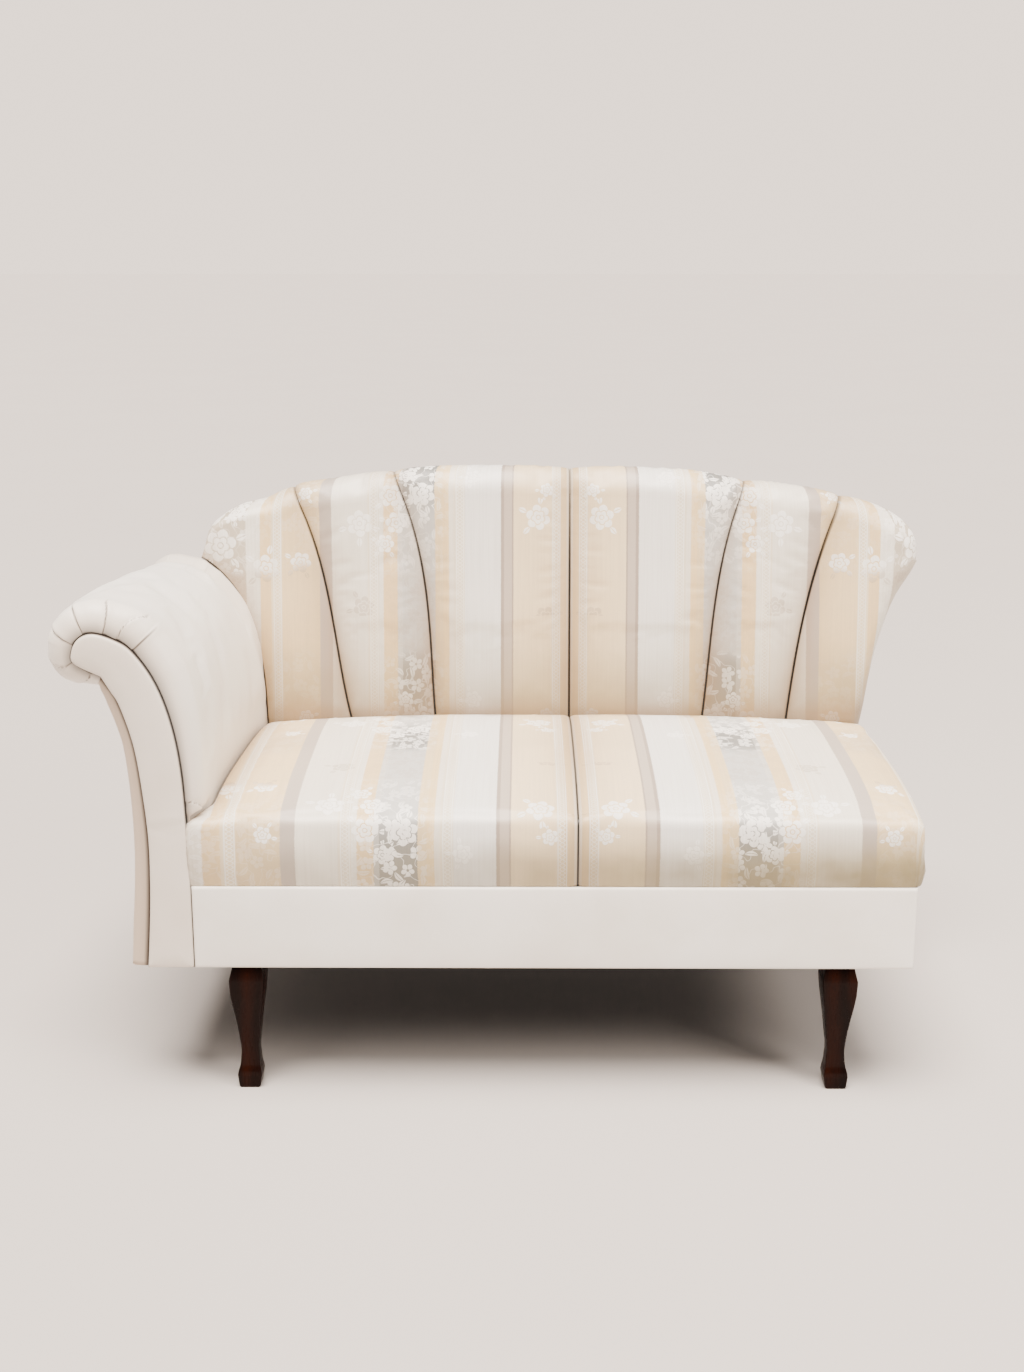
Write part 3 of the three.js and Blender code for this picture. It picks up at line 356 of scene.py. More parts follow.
damaskLook = {
    "span": 720,
    "fray": 5,
    "repeat": 400,
    "bright": 870,  # where the flowers are whitest, along the cloth
    "lead": 235,  # how far before that a repeat starts
    "drift": 60,
    "white": (-172, -150, 85, 110),  # where white flowers, thick sprigs and a dark ground rise and end
    "thick": (-115, -40, 70, 110),
    "dark": (-75, 10, 60, 120),
    "thinSprigs": 0.38,
    "sprigRise": (500, 740),
    "groundDepth": 0.85,
    "braids": (24, 197, 352, 526),
    "braidHalf": 6.4,
    "braidTurn": 13,
    "braidSwing": 0.62,
    "braidLine": (0.5, 1.5),
    "thread": rgb(246, 242, 233),
    "bloom": rgb(255, 252, 247),
    "shadow": rgb(170, 152, 134),
    "ground": rgb(104, 106, 106),
    # seam, seamEdge and seamFade: the painted shade line along the seams, its width in mm, and where it fades
    "seam": rgb(14, 9, 5),
    "seamEdge": (0.8, 2.5),
    "seamFade": (0.7, 0.89),  # heights in metres between which the painted shade line in a seam fades
    # seamShade: colour, reach and fading heights of the painted shade beside the seams
    "seamShade": rgb(140, 112, 82),
    # wearAndShade: colour of the painted shade low on the channels and on the seat's front
    "wearAndShade": rgb(132, 118, 82),
    "seamShadeReach": 30,
    "seamShadeFade": (520, 880),
    "blossomCell": 33,
    "leafCell": 25,
    "stemCell": 26,
    "weaveHeight": 0.0002,
    "figureHeight": 0.0004,
    "roughness": 0.4,
    "figureRough": 0.16,
    "sheen": 0.15,
    "sheenRoughness": 0.4,
}


def stripeRamp(tree, across, column):
    ramp = put(tree, "ShaderNodeValToRGB", {"Fac": across})
    ramp.color_ramp.interpolation = "CONSTANT"
    marks = ramp.color_ramp.elements
    for n, stripe in enumerate(stripes):
        element = marks[n] if n < 2 else marks.new(0.999)
        element.position = stripe[0] / damaskLook["span"]
        value = stripe[column]
        element.color = value if column == 1 else (value, value, value, 1)
    return ramp.outputs["Color"]


def scattered(tree, point, cell, randomness):  # place within the nearest of many scattered spots
    spread = vectorCalc(tree, "SCALE", point, 1 / cell)
    cells = put(tree, "ShaderNodeTexVoronoi", {"Vector": spread, "Scale": 1, "Randomness": randomness},
                voronoi_dimensions="2D")
    x, y, _ = split(tree, vectorCalc(tree, "SUBTRACT", spread, cells.outputs["Position"]))
    return x, y, field(tree, "ShaderNodeSeparateColor", 0, {0: cells.outputs["Color"]})


def polar(x, y, turn):
    return (x * x + y * y).to("SQRT"), y.to("ARCTAN2", x) + turn


def blossoms(tree, point, cell):  # small five-petalled flowers
    x, y, chance = scattered(tree, point, cell, 0.75)
    reach, turn = polar(x, y, chance * 6.28)
    lobes = abs((turn * 2.5).to("SINE"))
    edge = lobes * (chance * 0.08 + 0.1) + 0.22
    return (edge - reach).band(0.0, 0.03) * reach.band(0.05, 0.09) * lobes.band(0.05, 0.3)


def leaves(tree, point, cell):  # pointed leaves with a midrib
    x, y, chance = scattered(tree, point, cell, 0.85)
    turn = chance * 6.28
    cosine, sine = turn.to("COSINE"), turn.to("SINE")
    along = x * cosine + y * sine
    aside = abs(y * cosine - x * sine + along * along * 0.5)
    share = along / 0.46
    width = (1 - share * share) * 0.17
    return (width - aside).band(0.0, 0.03) * aside.band(0.008, 0.03)


def stems(tree, point, size):  # thin curling lines between the leaves
    return 1 - abs(cloudy(tree, point, 1 / size, 1, dimensions="2D") - 0.5).band(0.008, 0.022)


def nearestFlower(tree, point):  # place within the nearest open flower, in shares of its size
    best, local = None, None
    for reach, height, size, turn in openFlowers:
        away = vectorCalc(tree, "SUBTRACT", point, (reach, height, 0))
        away = vectorCalc(tree, "SCALE", away, 1 / size)
        far = field(tree, "ShaderNodeVectorMath", "Value", {0: away}, operation="LENGTH")
        marked = vectorCalc(tree, "ADD", away, (0, 0, turn))
        if best is None:
            best, local = far, marked
            continue
        closer = far.to("LESS_THAN", best)
        best = far.to("MINIMUM", best)
        local = put(tree, "ShaderNodeMix", {0: closer, 4: local, 5: marked}, data_type="VECTOR").outputs[1]
    return split(tree, local)


def openBlooms(tree, point):  # two rings of petals round a heart, and leaves on one side
    x, y, turned = nearestFlower(tree, point)
    reach, turn = polar(x, y, turned)
    outer = abs((turn * 3).to("SINE"))
    inner = abs((turn * 2.5).to("COSINE"))
    petals = (outer * 0.26 + 0.74 - reach).band(0.0, 0.05)
    beyond = reach - (inner * 0.16 + 0.4)
    fold = abs(beyond).band(0.02, 0.07)
    parting = outer.band(0.06, 0.2).to("MAXIMUM", beyond.band(0.03, 0.0))
    heart = abs(reach - 0.17).band(0.015, 0.05)
    spoke = (turn * (5 / (2 * math.pi))).to("FRACT") - 0.5
    along = field(tree, "ShaderNodeClamp", 0, {0: (reach - 0.95) / 0.8})
    width = (along * math.pi).to("SINE") * 0.22
    aside = abs(spoke * reach * (2 * math.pi / 5))
    blade = (width - aside).band(0.0, 0.04) * aside.band(0.012, 0.05)
    sided = (turn - 0.6).to("COSINE").band(-0.2, -0.1)
    return (petals * fold * parting * heart).to("MAXIMUM", blade * sided)


def braiding(side, along):  # two threads that cross between a pair of straight ones
    half = damaskLook["braidHalf"]
    wave = (along * (2 * math.pi / damaskLook["braidTurn"])).to("SINE") * (half * damaskLook["braidSwing"])
    braid = 0.0
    for centre in damaskLook["braids"]:
        local = side - centre
        near = abs(local - wave).to("MINIMUM", abs(local + wave)).to("MINIMUM", abs(abs(local) - half))
        braid = (1 - near.band(*damaskLook["braidLine"])).to("MAXIMUM", braid)
    return braid


def makeDamask():
    mat, tree, shader = startMaterial("stripedDamask")
    look = damaskLook
    flat = vectorCalc(tree, "SCALE", put(tree, "ShaderNodeUVMap", uv_map="cloth").outputs[0], 1000)
    across, along, _ = split(tree, flat)
    side = abs(across)
    share = (side + (cloudy(tree, flat, 0.9, 1) - 0.5) * look["fray"]) / look["span"]
    colour, cover, depth = [stripeRamp(tree, share, column) for column in (1, 2, 3)]

    # The pattern repeats along the cloth, and each repeat runs from white flowers to plain stripes
    phase = (along - (look["bright"] - look["lead"])) / look["repeat"]
    phase = phase.to("FRACT") * look["repeat"] - look["lead"]
    folded = put(tree, "ShaderNodeCombineXYZ", {0: side, 1: phase + look["bright"]}).outputs[0]
    edge = phase + (cloudy(tree, flat, 0.012, 1) - 0.5) * look["drift"]
    white, thick, dark = [edge.plateau(*look[key]) for key in ("white", "thick", "dark")]
    colour = blendColour(tree, dark * depth * look["groundDepth"], colour, look["ground"])

    sprig = blossoms(tree, flat, look["blossomCell"]).to("MAXIMUM", leaves(tree, flat, look["leafCell"]))
    sprig = sprig.to("MAXIMUM", stems(tree, flat, look["stemCell"]) * 0.8)
    high = along.band(*look["sprigRise"]) * 0.5 + 0.5
    sprig = sprig * cover * (thick * high * (1 - look["thinSprigs"]) + look["thinSprigs"])
    flower = sprig.to("MAXIMUM", openBlooms(tree, folded) * (white * 0.25 + 0.75))
    tint = blendColour(tree, white, look["shadow"], look["bloom"])
    colour = blendColour(tree, flower * (white * 0.33 + 0.62), colour, tint)
    braid = braiding(side, along)
    colour = blendColour(tree, braid * (white * 0.25 + 0.7), colour, look["thread"])

    streak = cloudy(tree, stretched(tree, flat, (0.35, 0.006, 1)), 1)
    colour = blendColour(tree, streak.band(0.3, 0.75) * 0.16, colour, look["shadow"])
    # painted shade: the channels darker towards the seat, the seat's front and right faces darker towards the
    # bottom
    wearAndShade = attribute(tree, "wear") * (cloudy(tree, flat, 0.02, 2) * 0.6 + 0.7)
    colour = blendColour(tree, wearAndShade, colour, look["wearAndShade"])
    seamGap = attribute(tree, "seamGap")
    # painted shade: darker and browner near the seams and where the cloth meets the seat, arm and back, more
    # so low down
    seamShade = (seamGap / -look["seamShadeReach"]).to("EXPONENT")
    low = 1 - along.band(*look["seamShadeFade"])
    colour = blendColour(tree, seamShade * (low * 0.35 + 0.4), colour, look["seamShade"])
    # painted shade: a dark line in the seams' grooves, fading higher up
    height = split(tree, objectPoint(tree))[2]
    fading = 1 - height.band(*look["seamFade"]) * 0.6
    colour = blendColour(tree, (1 - seamGap.band(*look["seamEdge"])) * fading, colour, look["seam"])

    weave = cloudy(tree, stretched(tree, flat, (2.6, 1.1, 1)), 1, 2)
    figure = flower.to("MAXIMUM", braid)
    normal = bumpFrom(tree, weave, 0.25, look["weaveHeight"])
    normal = bumpFrom(tree, figure + streak * 0.4, 0.5, look["figureHeight"], normal)
    rough = figure * look["figureRough"] + look["roughness"]
    fixed = {"Sheen Weight": look["sheen"], "Sheen Roughness": look["sheenRoughness"]}
    surface(tree, shader, colour, rough, normal, fixed)
    return mat


def makeTimber(name, light, dark, grainScale, roughness, coat=0.0):
    mat, tree, shader = startMaterial(name)
    point = objectPoint(tree, grainScale)
    warp = cloudy(tree, point, 1.3, 4, 0.6)
    values = {"Vector": point, "Scale": 1.6, "Distortion": 7, "Detail": 3}
    rings = field(tree, "ShaderNodeTexWave", "Fac", values, wave_type="BANDS", bands_direction="X")
    colour = blendColour(tree, (rings * 0.3 + warp * 0.7).band(0.2, 0.85), dark, light)
    pores = cloudy(tree, objectPoint(tree, tuple(40 * s for s in grainScale)), 1, 2)
    colour = blendColour(tree, pores.band(0.56, 0.7) * 0.35, colour, dark)
    fixed = {"Coat Weight": coat, "Coat Roughness": 0.08, "Specular IOR Level": 0.06 if coat else 0.5}
    surface(tree, shader, colour, pores * 0.08 + roughness, bumpFrom(tree, pores, 0.2, 0.0002), fixed)
    return mat


def makeRough(name, light, dark, scale, height, roughness, metal=0.0):  # foam, jute, cambric and metals
    mat, tree, shader = startMaterial(name)
    point = objectPoint(tree)
    grain = cloudy(tree, point, scale)
    broad = cloudy(tree, point, 12)
    colour = blendColour(tree, grain.band(0.3, 0.7), dark, light)
    colour = blendColour(tree, broad * 0.3, colour, dark)
    normal = bumpFrom(tree, grain, 0.5, height)
    surface(tree, shader, colour, broad * 0.1 + roughness, normal, {"Metallic": metal})
    return mat


hide = makeHide()
damask = makeDamask()
mahogany = makeTimber("polishedMahogany", rgb(34, 11, 2), rgb(12, 3, 1), (6, 6, 1.1), 0.24, 0.03)
hidden = {
    "beech": makeTimber("beechRail", rgb(214, 176, 128), rgb(176, 132, 84), (3, 20, 20), 0.6),
    "ply": makeTimber("plyBoard", rgb(204, 168, 120), rgb(160, 120, 78), (20, 20, 2), 0.65),
    "foam": makeRough("yellowFoam", rgb(238, 226, 168), rgb(214, 198, 132), 700, 0.0006, 0.9),
    "jute": makeRough("hessian", rgb(176, 148, 104), rgb(122, 98, 62), 900, 0.0008, 0.9),
    "cambric": makeRough("blackCambric", rgb(52, 52, 54), rgb(24, 24, 26), 1400, 0.0003, 0.85),
    "steel": makeRough("springSteel", rgb(150, 152, 156), rgb(96, 98, 102), 240, 0.0001, 0.32, 1.0),
    "brass": makeRough("insertBrass", rgb(196, 158, 92), rgb(140, 106, 54), 240, 0.0001, 0.3, 1.0),
    "mahogany": mahogany,
    "hide": hide,
    "damask": damask,
}
for part in frame["record"]["subparts"]:
    node = frame["nodes"][part["node"]]
    node.data.materials.clear()
    node.data.materials.append(hidden[part["material_slot"]])
print("materials made")


# Meshes
def linked(name, data):
    obj = bpy.data.objects.new(name, data)
    bpy.context.scene.collection.objects.link(obj)
    return obj


def addObject(name, mesh, mat):
    obj = linked(name, mesh)
    mesh.materials.append(mat)
    for polygon in mesh.polygons:
        polygon.use_smooth = True
    return obj


def meshFrom(name, points, faces, mat, marks=None, cloth=None):
    mesh = bpy.data.meshes.new(name)
    mesh.from_pydata([place(*point) for point in points], [], faces)
    mesh.validate()
    mesh.update()
    volume = 0.0
    for polygon in mesh.polygons:
        corners = [mesh.vertices[i].co for i in polygon.vertices]
        for a, b in zip(corners[1:], corners[2:]):
            volume += corners[0].dot(a.cross(b))
    if volume < 0:
        mesh.flip_normals()
    for mark, values in (marks or {}).items():
        layer = mesh.attributes.new(mark, "FLOAT", "POINT")
        layer.data.foreach_set("value", values)
    if cloth:
        layer = mesh.uv_layers.new(name="cloth")
        for loop in mesh.loops:
            u, v = cloth[loop.vertex_index]
            layer.data[loop.index].uv = (u / 1000, v / 1000)
    return addObject(name, mesh, mat)


def closeShell(faces, count):  # adds the inner skin and the walls at every open edge
    seen = {}
    for face in faces:
        for a, b in zip(face, face[1:] + face[:1]):
            seen[(a, b)] = face
    shell = [list(face) for face in faces]
    shell += [[i + count for i in reversed(face)] for face in faces]
    for a, b in seen:
        if (b, a) not in seen:
            shell.append([b, a, a + count, b + count])
    return shell


def gridFaces(columns, rows):
    starts = [i * rows + j for i in range(columns - 1) for j in range(rows - 1)]
    return [[n, n + rows, n + rows + 1, n + 1] for n in starts]


def padFaces(columns, rows, depths):  # a closed pad: front at depth 0, rear at the last depth
    keys = {}
    faces = []

    def at(i, j, k):
        return keys.setdefault((i, j, k), len(keys))

    last = depths - 1
    for i in range(columns - 1):
        for j in range(rows - 1):
            faces.append([at(i, j, 0), at(i + 1, j, 0), at(i + 1, j + 1, 0), at(i, j + 1, 0)])
            faces.append([at(i, j, last), at(i, j + 1, last), at(i + 1, j + 1, last), at(i + 1, j, last)])
    edge = [(i, 0) for i in range(columns - 1)] + [(columns - 1, j) for j in range(rows - 1)]
    edge += [(i, rows - 1) for i in range(columns - 1, 0, -1)] + [(0, j) for j in range(rows - 1, 0, -1)]
    for (i, j), (p, q) in zip(edge, edge[1:] + edge[:1]):
        for k in range(last):
            faces.append([at(i, j, k), at(i, j, k + 1), at(p, q, k + 1), at(p, q, k)])
    return keys, faces


seat = {
    "round": 18,
    "tuckRound": 8,
    "tuck": 4,
    "crown": 19,
    "swell": 18,
    "swellShares": (0.33, 0.9),
    "curve": 3,
    "seamDepth": 4.5,
    "seamWidth": 5,
    "bulge": 2.5,
    "pattern": 830,  # the cloth's height on the back that the front edge continues
    "reveal": 0.7,
    "cornerBlend": 55,
    "soft": 1.2,
    "edgeShade": 6,
    "wear": (0.2, 0.95),  # painted shade low on the front and right faces, at the left and the right end
    "middleSpan": (-552, 511),  # its ends, half way to the back
    "seamShare": 0.51,  # where the centre seam lies across it
    "columns": 64,
    "rows": 56,
    "nearSeam": (0.9, 2, 3.4, 5.2, 8, 12),  # columns beside the centre seam
    "softSize": 120,
}

# Back: depth of its front, frame and rear at a height
back = {
    "lean": 0.16,
    "frameLean": 0.08,
    "rearLean": 0.085,
    "railDrop": 3.8,
    "thickness": 19,
    "channelPad": 66,
    "board": 4,
    "panel": 12,
    "groove": 16,
    "crestRound": 49,
    "sideRound": 24,
    "notch": 9,
    "coreInset": 30,
    "openingInset": 62,
    "openingFoot": 0.03,  # shares of the arm's and the side's height that it follows
    "openingArm": 0.68,
    "openingSide": 0.8,
    "openingEnd": 3,  # crest rows left out at each end
    "crownCurve": 2.4,
    "edgeEase": 0.35,
    "lobeShare": 0.5,
}
backFrame = couch["baseDepth"] - back["thickness"]
seatDepth = backFrame - back["channelPad"]

# Arm: the same scroll as the solid parts, in shares of the facing's width and height
arm = {
    "reach": 160,
    "rise": 526,
    "head": 32,
    "pad": 44,
    "padRear": 541,
    "rearRound": 60,
    "rearRows": (4.6, 6.2),
    "footNear": 14,
    "footFar": 68,
    "footPad": 1.6,
    "footRows": (1.28, 1.5),
    "frontRound": 35,
    "front": 5,
    "cover": 2,
    "taperShares": (1, 1.65),
    "outerPad": 24,
    "fold": 9,
}
scrollShares = [
    (0, 0.26, 0.58, 0.98),
    (0.015, 0.42, 0.58, 0.98),
    (0.046, 0.606, 0.64, 0.94),
    (0.121, 0.747, 0.84, 0.85),
    (0.2525, 0.863, 1.02, 0.72),
    (0.446, 0.951, 1.08, 0.5),
    (0.62, 0.985, 1.03, 0.34),
]
headShares = [(0, 1, 0.2), (0.22, 1, 0.18), (0.44, 1, 0.18), (0.64, 0.88, 0.18)]
tuckShares = (0.74, 0.876, 0.5, 0.18)
outerShares = [
    (0.665, 0.8365, 0.7),
    (0.584, 0.791, 0.85),
    (0.4775, 0.679, 0.78),
    (0.421, 0.549, 0.85),
    (0.384, 0.397, 1),
    (0.39, 0.26, 1.06),
    (0.415, 0.127, 1.14),
    (0.45, 0, 1.1),
]


def armPoint(reachShare, riseShare):
    return Vector((-couch["armSeam"] - reachShare * arm["reach"], baseBottom + riseShare * arm["rise"]))


def scrollTable():
    rows = [(armPoint(reach, rise), front, rear) for reach, rise, front, rear in scrollShares]
    for turn, front, rear in headShares:
        angle = turn * math.pi
        reach = arm["reach"] - arm["head"] + arm["head"] * math.sin(angle)
        rise = arm["rise"] - arm["head"] + arm["head"] * math.cos(angle)
        rows.append((armPoint(reach / arm["reach"], rise / arm["rise"]), front, rear))
    reach, rise, front, rear = tuckShares
    rows.append((armPoint(reach, rise), front, rear))
    return rows


scrollRows = scrollTable()
scrollEnd = len(scrollRows) - 1
scrollCurve = smoothCurve([row[0] for row in scrollRows])
outerEnd = len(outerShares) - 1
outerCurve = smoothCurve([armPoint(reach, rise) for reach, rise, _ in outerShares])


def scrollAt(row, offset):
    return besideCurve(scrollCurve, row / scrollEnd, offset)


def outerAt(row, offset):
    return besideCurve(outerCurve, row / outerEnd, offset)


def quarter(reach, radius):  # height of a quarter round, from 1 down to 0 at its radius
    return math.sqrt(1 - clamp(reach / radius) ** 2)


def armDepth(row, y, above=None):  # above is 1 where the pad stands over the seat
    way = clamp((y - arm["front"] - arm["frontRound"]) / (arm["padRear"] - arm["frontRound"]))
    bend = lerp(*arm["taperShares"], row / scrollEnd)
    full = arm["pad"] * lerp(tableAt(scrollRows, row, 1), tableAt(scrollRows, row, 2), way ** bend)
    low, high = arm["footRows"]
    above = clamp((row - low) / (high - low)) if above is None else above
    edge = quarter(arm["front"] + arm["frontRound"] - y, arm["frontRound"])
    front = lerp(smooth(y, arm["footNear"], arm["footFar"]), edge, above)
    low, high = arm["rearRows"]
    rear = lerp(1, quarter(y - couch["baseDepth"] + arm["rearRound"], arm["rearRound"]),
                clamp((row - low) / (high - low)))
    least = arm["cover"] + 2 * couch["gap"] + arm["footPad"] * (1 - above)
    return least + (full - least) * front * rear


def depthAtBack(row):
    return armDepth(row, couch["baseDepth"] - arm["rearRound"])


pleats = {
    "edgeRows": (1.46, 4.98, 5.8, 6.47, 7.59, 8.64, 9.89, 10.7),
    "outerRows": (1.24, 5.0, 5.3, 6.7, 7.66, 8.53, 9.59, 10.35),
    "depth": 3.4,
    "swell": 1.5,
    "swellWidth": 6,
    "width": 4.5,
    "dark": 0.95,  # width of the painted shade line in a fold
    "full": 14,  # behind the front edge, where a pleat starts to fade
    "turnIn": 26,  # where it has swung from its edge row to its outer row
    "reach": 52,
    "span": 1.4,  # rows to each side that one pleat shapes
}


def pleatAt(row, y, offset):  # height of the pleats over the smooth scroll, and how much painted shade lies in their folds
    fade = 1 - smooth(y - arm["front"], pleats["full"], pleats["reach"])
    if fade <= 0:
        return 0.0, 0.0
    way = clamp((y - arm["front"]) / pleats["turnIn"])
    height, dark = 0.0, 0.0
    here = scrollAt(row, offset)
    for first, second in zip(pleats["edgeRows"], pleats["outerRows"]):
        line = lerp(first, second, way)
        if abs(row - line) > pleats["span"]:
            continue
        away = (scrollAt(line, offset) - here).length * (1 if row > line else -1)
        if away > 0:
            height -= pleats["depth"] * math.exp(-away / pleats["width"])
        else:
            height += pleats["swell"] * math.exp(-((away + 3) / pleats["swellWidth"]) ** 2)
        dark = max(dark, math.exp(-(away / pleats["dark"]) ** 2))
    return height * fade, dark * fade


def seatEdgeAt(y):  # height of the seat where it meets the arm
    v = clamp(y / (seatDepth - 2 * couch["softGap"]))
    return seatEdge + seat["crown"] * (1 - abs(2 * v - 1) ** seat["curve"])


armSkin = {
    "ripple": 70,
    "edge": (0.4, 2.2),  # behind the front edge, where its painted shade line fades
    "frontShade": 12,  # how far the painted warm shade reaches from the facing, the seat and the back
    "seatShade": 16,
    "backShade": 30,
    "loose": (12, 60),  # heights over the seat between which the padding is let free
}


def armCover():
    rows = joinedSteps((14, 0, 1.12), (22, 1.12, 1.6), (28, 1.6, 4), (150, 4, scrollEnd))
    near, far = arm["front"], couch["baseDepth"]
    ys = steps(10, near, near + 18) + steps(13, near + 20, near + 60) + steps(30, near + 75, far)
    keys, faces = padFaces(len(rows), len(ys), 2)
    points, shades = [], []  # shades: painted shade in creases, painted warm shade, and how free each point is
    for (i, j, k) in keys:
        row, y = rows[i], ys[j]
        if k == 1:
            spot = scrollAt(row, couch["gap"])
            points.append((spot.x, y, spot.y))
            shades.append((1.0, 0.0, 0.0))
            continue
        depth = armDepth(row, y, smooth(scrollAt(row, 0).y - seatEdgeAt(y), -1, arm["fold"]))
        lift, dark = pleatAt(row, y, depth)
        soft = ripple(row * 40, y, 7, armSkin["ripple"]) * smooth(y, 20, 90)
        spot = scrollAt(row, max(depth + lift + soft, arm["cover"]))
        points.append((spot.x, y, spot.y))
        rise = spot.y - seatEdgeAt(y)
        # painted shade: a dark line along the front edge and in the pleats' folds, a warm shade near the
        # facing, the seat and the back
        edge = 1 - smooth(y - near, *armSkin["edge"])
        nearFront = math.exp(-(y - near) / armSkin["frontShade"])
        nearSeat = math.exp(-max(rise, 0) / armSkin["seatShade"])
        nearBack = smooth(y, seatDepth - armSkin["backShade"], seatDepth)
        toneAndShade = clamp(0.5 * nearFront + 0.45 * nearSeat + 0.4 * dark + 0.4 * nearBack)
        free = smooth(y, 50, 110) * smooth(far - y, 0, 40)
        free *= smooth(rise, *armSkin["loose"]) * smooth(scrollEnd - row, 0.3, 1.2)
        shades.append((clamp(max(dark * 0.95, edge * 0.5)), toneAndShade, free))
    creaseShade, toneAndShade, free = zip(*shades)
    piece = meshFrom("armCover", points, faces, hide, {"creaseShade": creaseShade, "toneAndShade": toneAndShade})
    settle(piece, free)
    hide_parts("arm_cover", "arm_foam")
    return piece


outsidePad = {
    "front": (0, 0.6, 1.6, 3.2, 5.4, 8, 12, 20),  # columns behind the front edge
    "edge": 8,  # depth over which the front edge rounds
    "edgeShare": 0.3,
    "start": 0.08,  # the first row below the roll
    "belly": 1.5,
    # distances from the front edge over which the painted shade fades
    "shade": (8, 110),
}


def armOutsidePanel():
    tucked = steps(5, -1, 0)[:-1]  # rows below 0 run up under the roll
    rows = tucked + steps(62, outsidePad["start"], outerEnd)
    near = arm["front"] + couch["frontProud"]
    ys = [near + y for y in outsidePad["front"]] + steps(24, near + 40, couch["baseDepth"])
    keys, faces = padFaces(len(rows), len(ys), 3)
    points, creaseShade, toneAndShade = [], [], []
    for (i, j, k) in keys:
        row, y = max(rows[i], outsidePad["start"]), ys[j]
        back = clamp((near + outsidePad["edge"] - y) / outsidePad["edge"])
        thick = arm["outerPad"] * tableAt(outerShares, row, 2)
        thick *= lerp(outsidePad["edgeShare"], 1, math.sqrt(1 - back * back))
        spot = outerAt(row, 2 * couch["gap"])
        belly = outsidePad["belly"] * math.sin(math.pi * i / (len(rows) - 1)) * smooth(y, near, near + 60)
        x = spot.x - (thick + belly) * (1 - k / 2)
        if rows[i] < 0:
            roll = scrollAt(scrollEnd, lerp(armDepth(scrollEnd, y) - 1, 2 * couch["gap"], k / 2))
            spot = Vector((x, spot.y)).lerp(roll, -rows[i] * clamp((roll.y - spot.y) / 3))
            x = spot.x
        points.append((x, y, max(spot.y, baseBottom)))
        # painted shade: the hidden inner layers dark, and a warm shade darkest at the front edge
        creaseShade.append(0.95 * math.sqrt(k / 2))
        toneAndShade.append(1 - smooth(y - near, *outsidePad["shade"]))
    piece = meshFrom("armOutsidePanel", points, faces, hide, {"creaseShade": creaseShade, "toneAndShade": toneAndShade})
    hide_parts("arm_outside_panel")
    return piece


# Flat padded panels: an outline in X and Z, a face that swells a little and rolls over at its edge
def distanceTo(outline, x, z):
    best = 1e9
    for (ax, az), (bx, bz) in zip(outline, outline[1:] + outline[:1]):
        dx, dz = bx - ax, bz - az
        size = dx * dx + dz * dz
        t = clamp(((x - ax) * dx + (z - az) * dz) / size) if size > 0 else 0
        best = min(best, (x - ax - t * dx) ** 2 + (z - az - t * dz) ** 2)
    return math.sqrt(best)


def inside(outline, x, z):
    odd = False
    for (ax, az), (bx, bz) in zip(outline, outline[1:] + outline[:1]):
        if (az > z) != (bz > z) and x < (bx - ax) * (z - az) / (bz - az) + ax:
            odd = not odd
    return odd


def respaced(outline, step):
    points = []
    for (ax, az), (bx, bz) in zip(outline, outline[1:] + outline[:1]):
        length = math.hypot(bx - ax, bz - az)
        count = max(1, round(length / step))
        points += [(lerp(ax, bx, n / count), lerp(az, bz, n / count)) for n in range(count)]
    return points


def plateSpots(edge, look):  # the edge, rings just inside it and a grid within them
    spots = list(edge)
    for depth in look["rings"]:
        for n, (x, z) in enumerate(edge):
            ax, az = edge[n - 1]
            bx, bz = edge[(n + 1) % len(edge)]
            length = math.hypot(bx - ax, bz - az) or 1
            for turn in (1, -1):
                px, pz = x - turn * (bz - az) / length * depth, z + turn * (bx - ax) / length * depth
                if inside(edge, px, pz) and distanceTo(edge, px, pz) > depth * 0.9:
                    spots.append((px, pz))
    xs, zs = zip(*edge)
    grid = look["grid"]
    for i in range(int((max(xs) - min(xs)) / grid) + 1):
        for j in range(int((max(zs) - min(zs)) / grid) + 1):
            x, z = min(xs) + (i + 0.5) * grid, min(zs) + (j + 0.5) * grid
            if inside(edge, x, z) and distanceTo(edge, x, z) > look["rings"][-1] + grid * 0.5:
                spots.append((x, z))
    return [Vector(spot) for spot in spots]


def plateSwell(look, spot, away):
    swell = look["crown"] * (1 - (1 - clamp(away / look["reach"])) ** 2)
    swell += look["soft"] * ripple(spot.x, spot.y, 3, 60) * smooth(away, 0, 25)
    for height, depth, tilt in look.get("wrinkles", ()):
        line = (spot.y - height - tilt * (spot.x + couch["armSeam"])) / look["wrinkleWidth"]
        swell += depth * line * math.exp(-line * line) * smooth(away, 0, 12)
    return swell


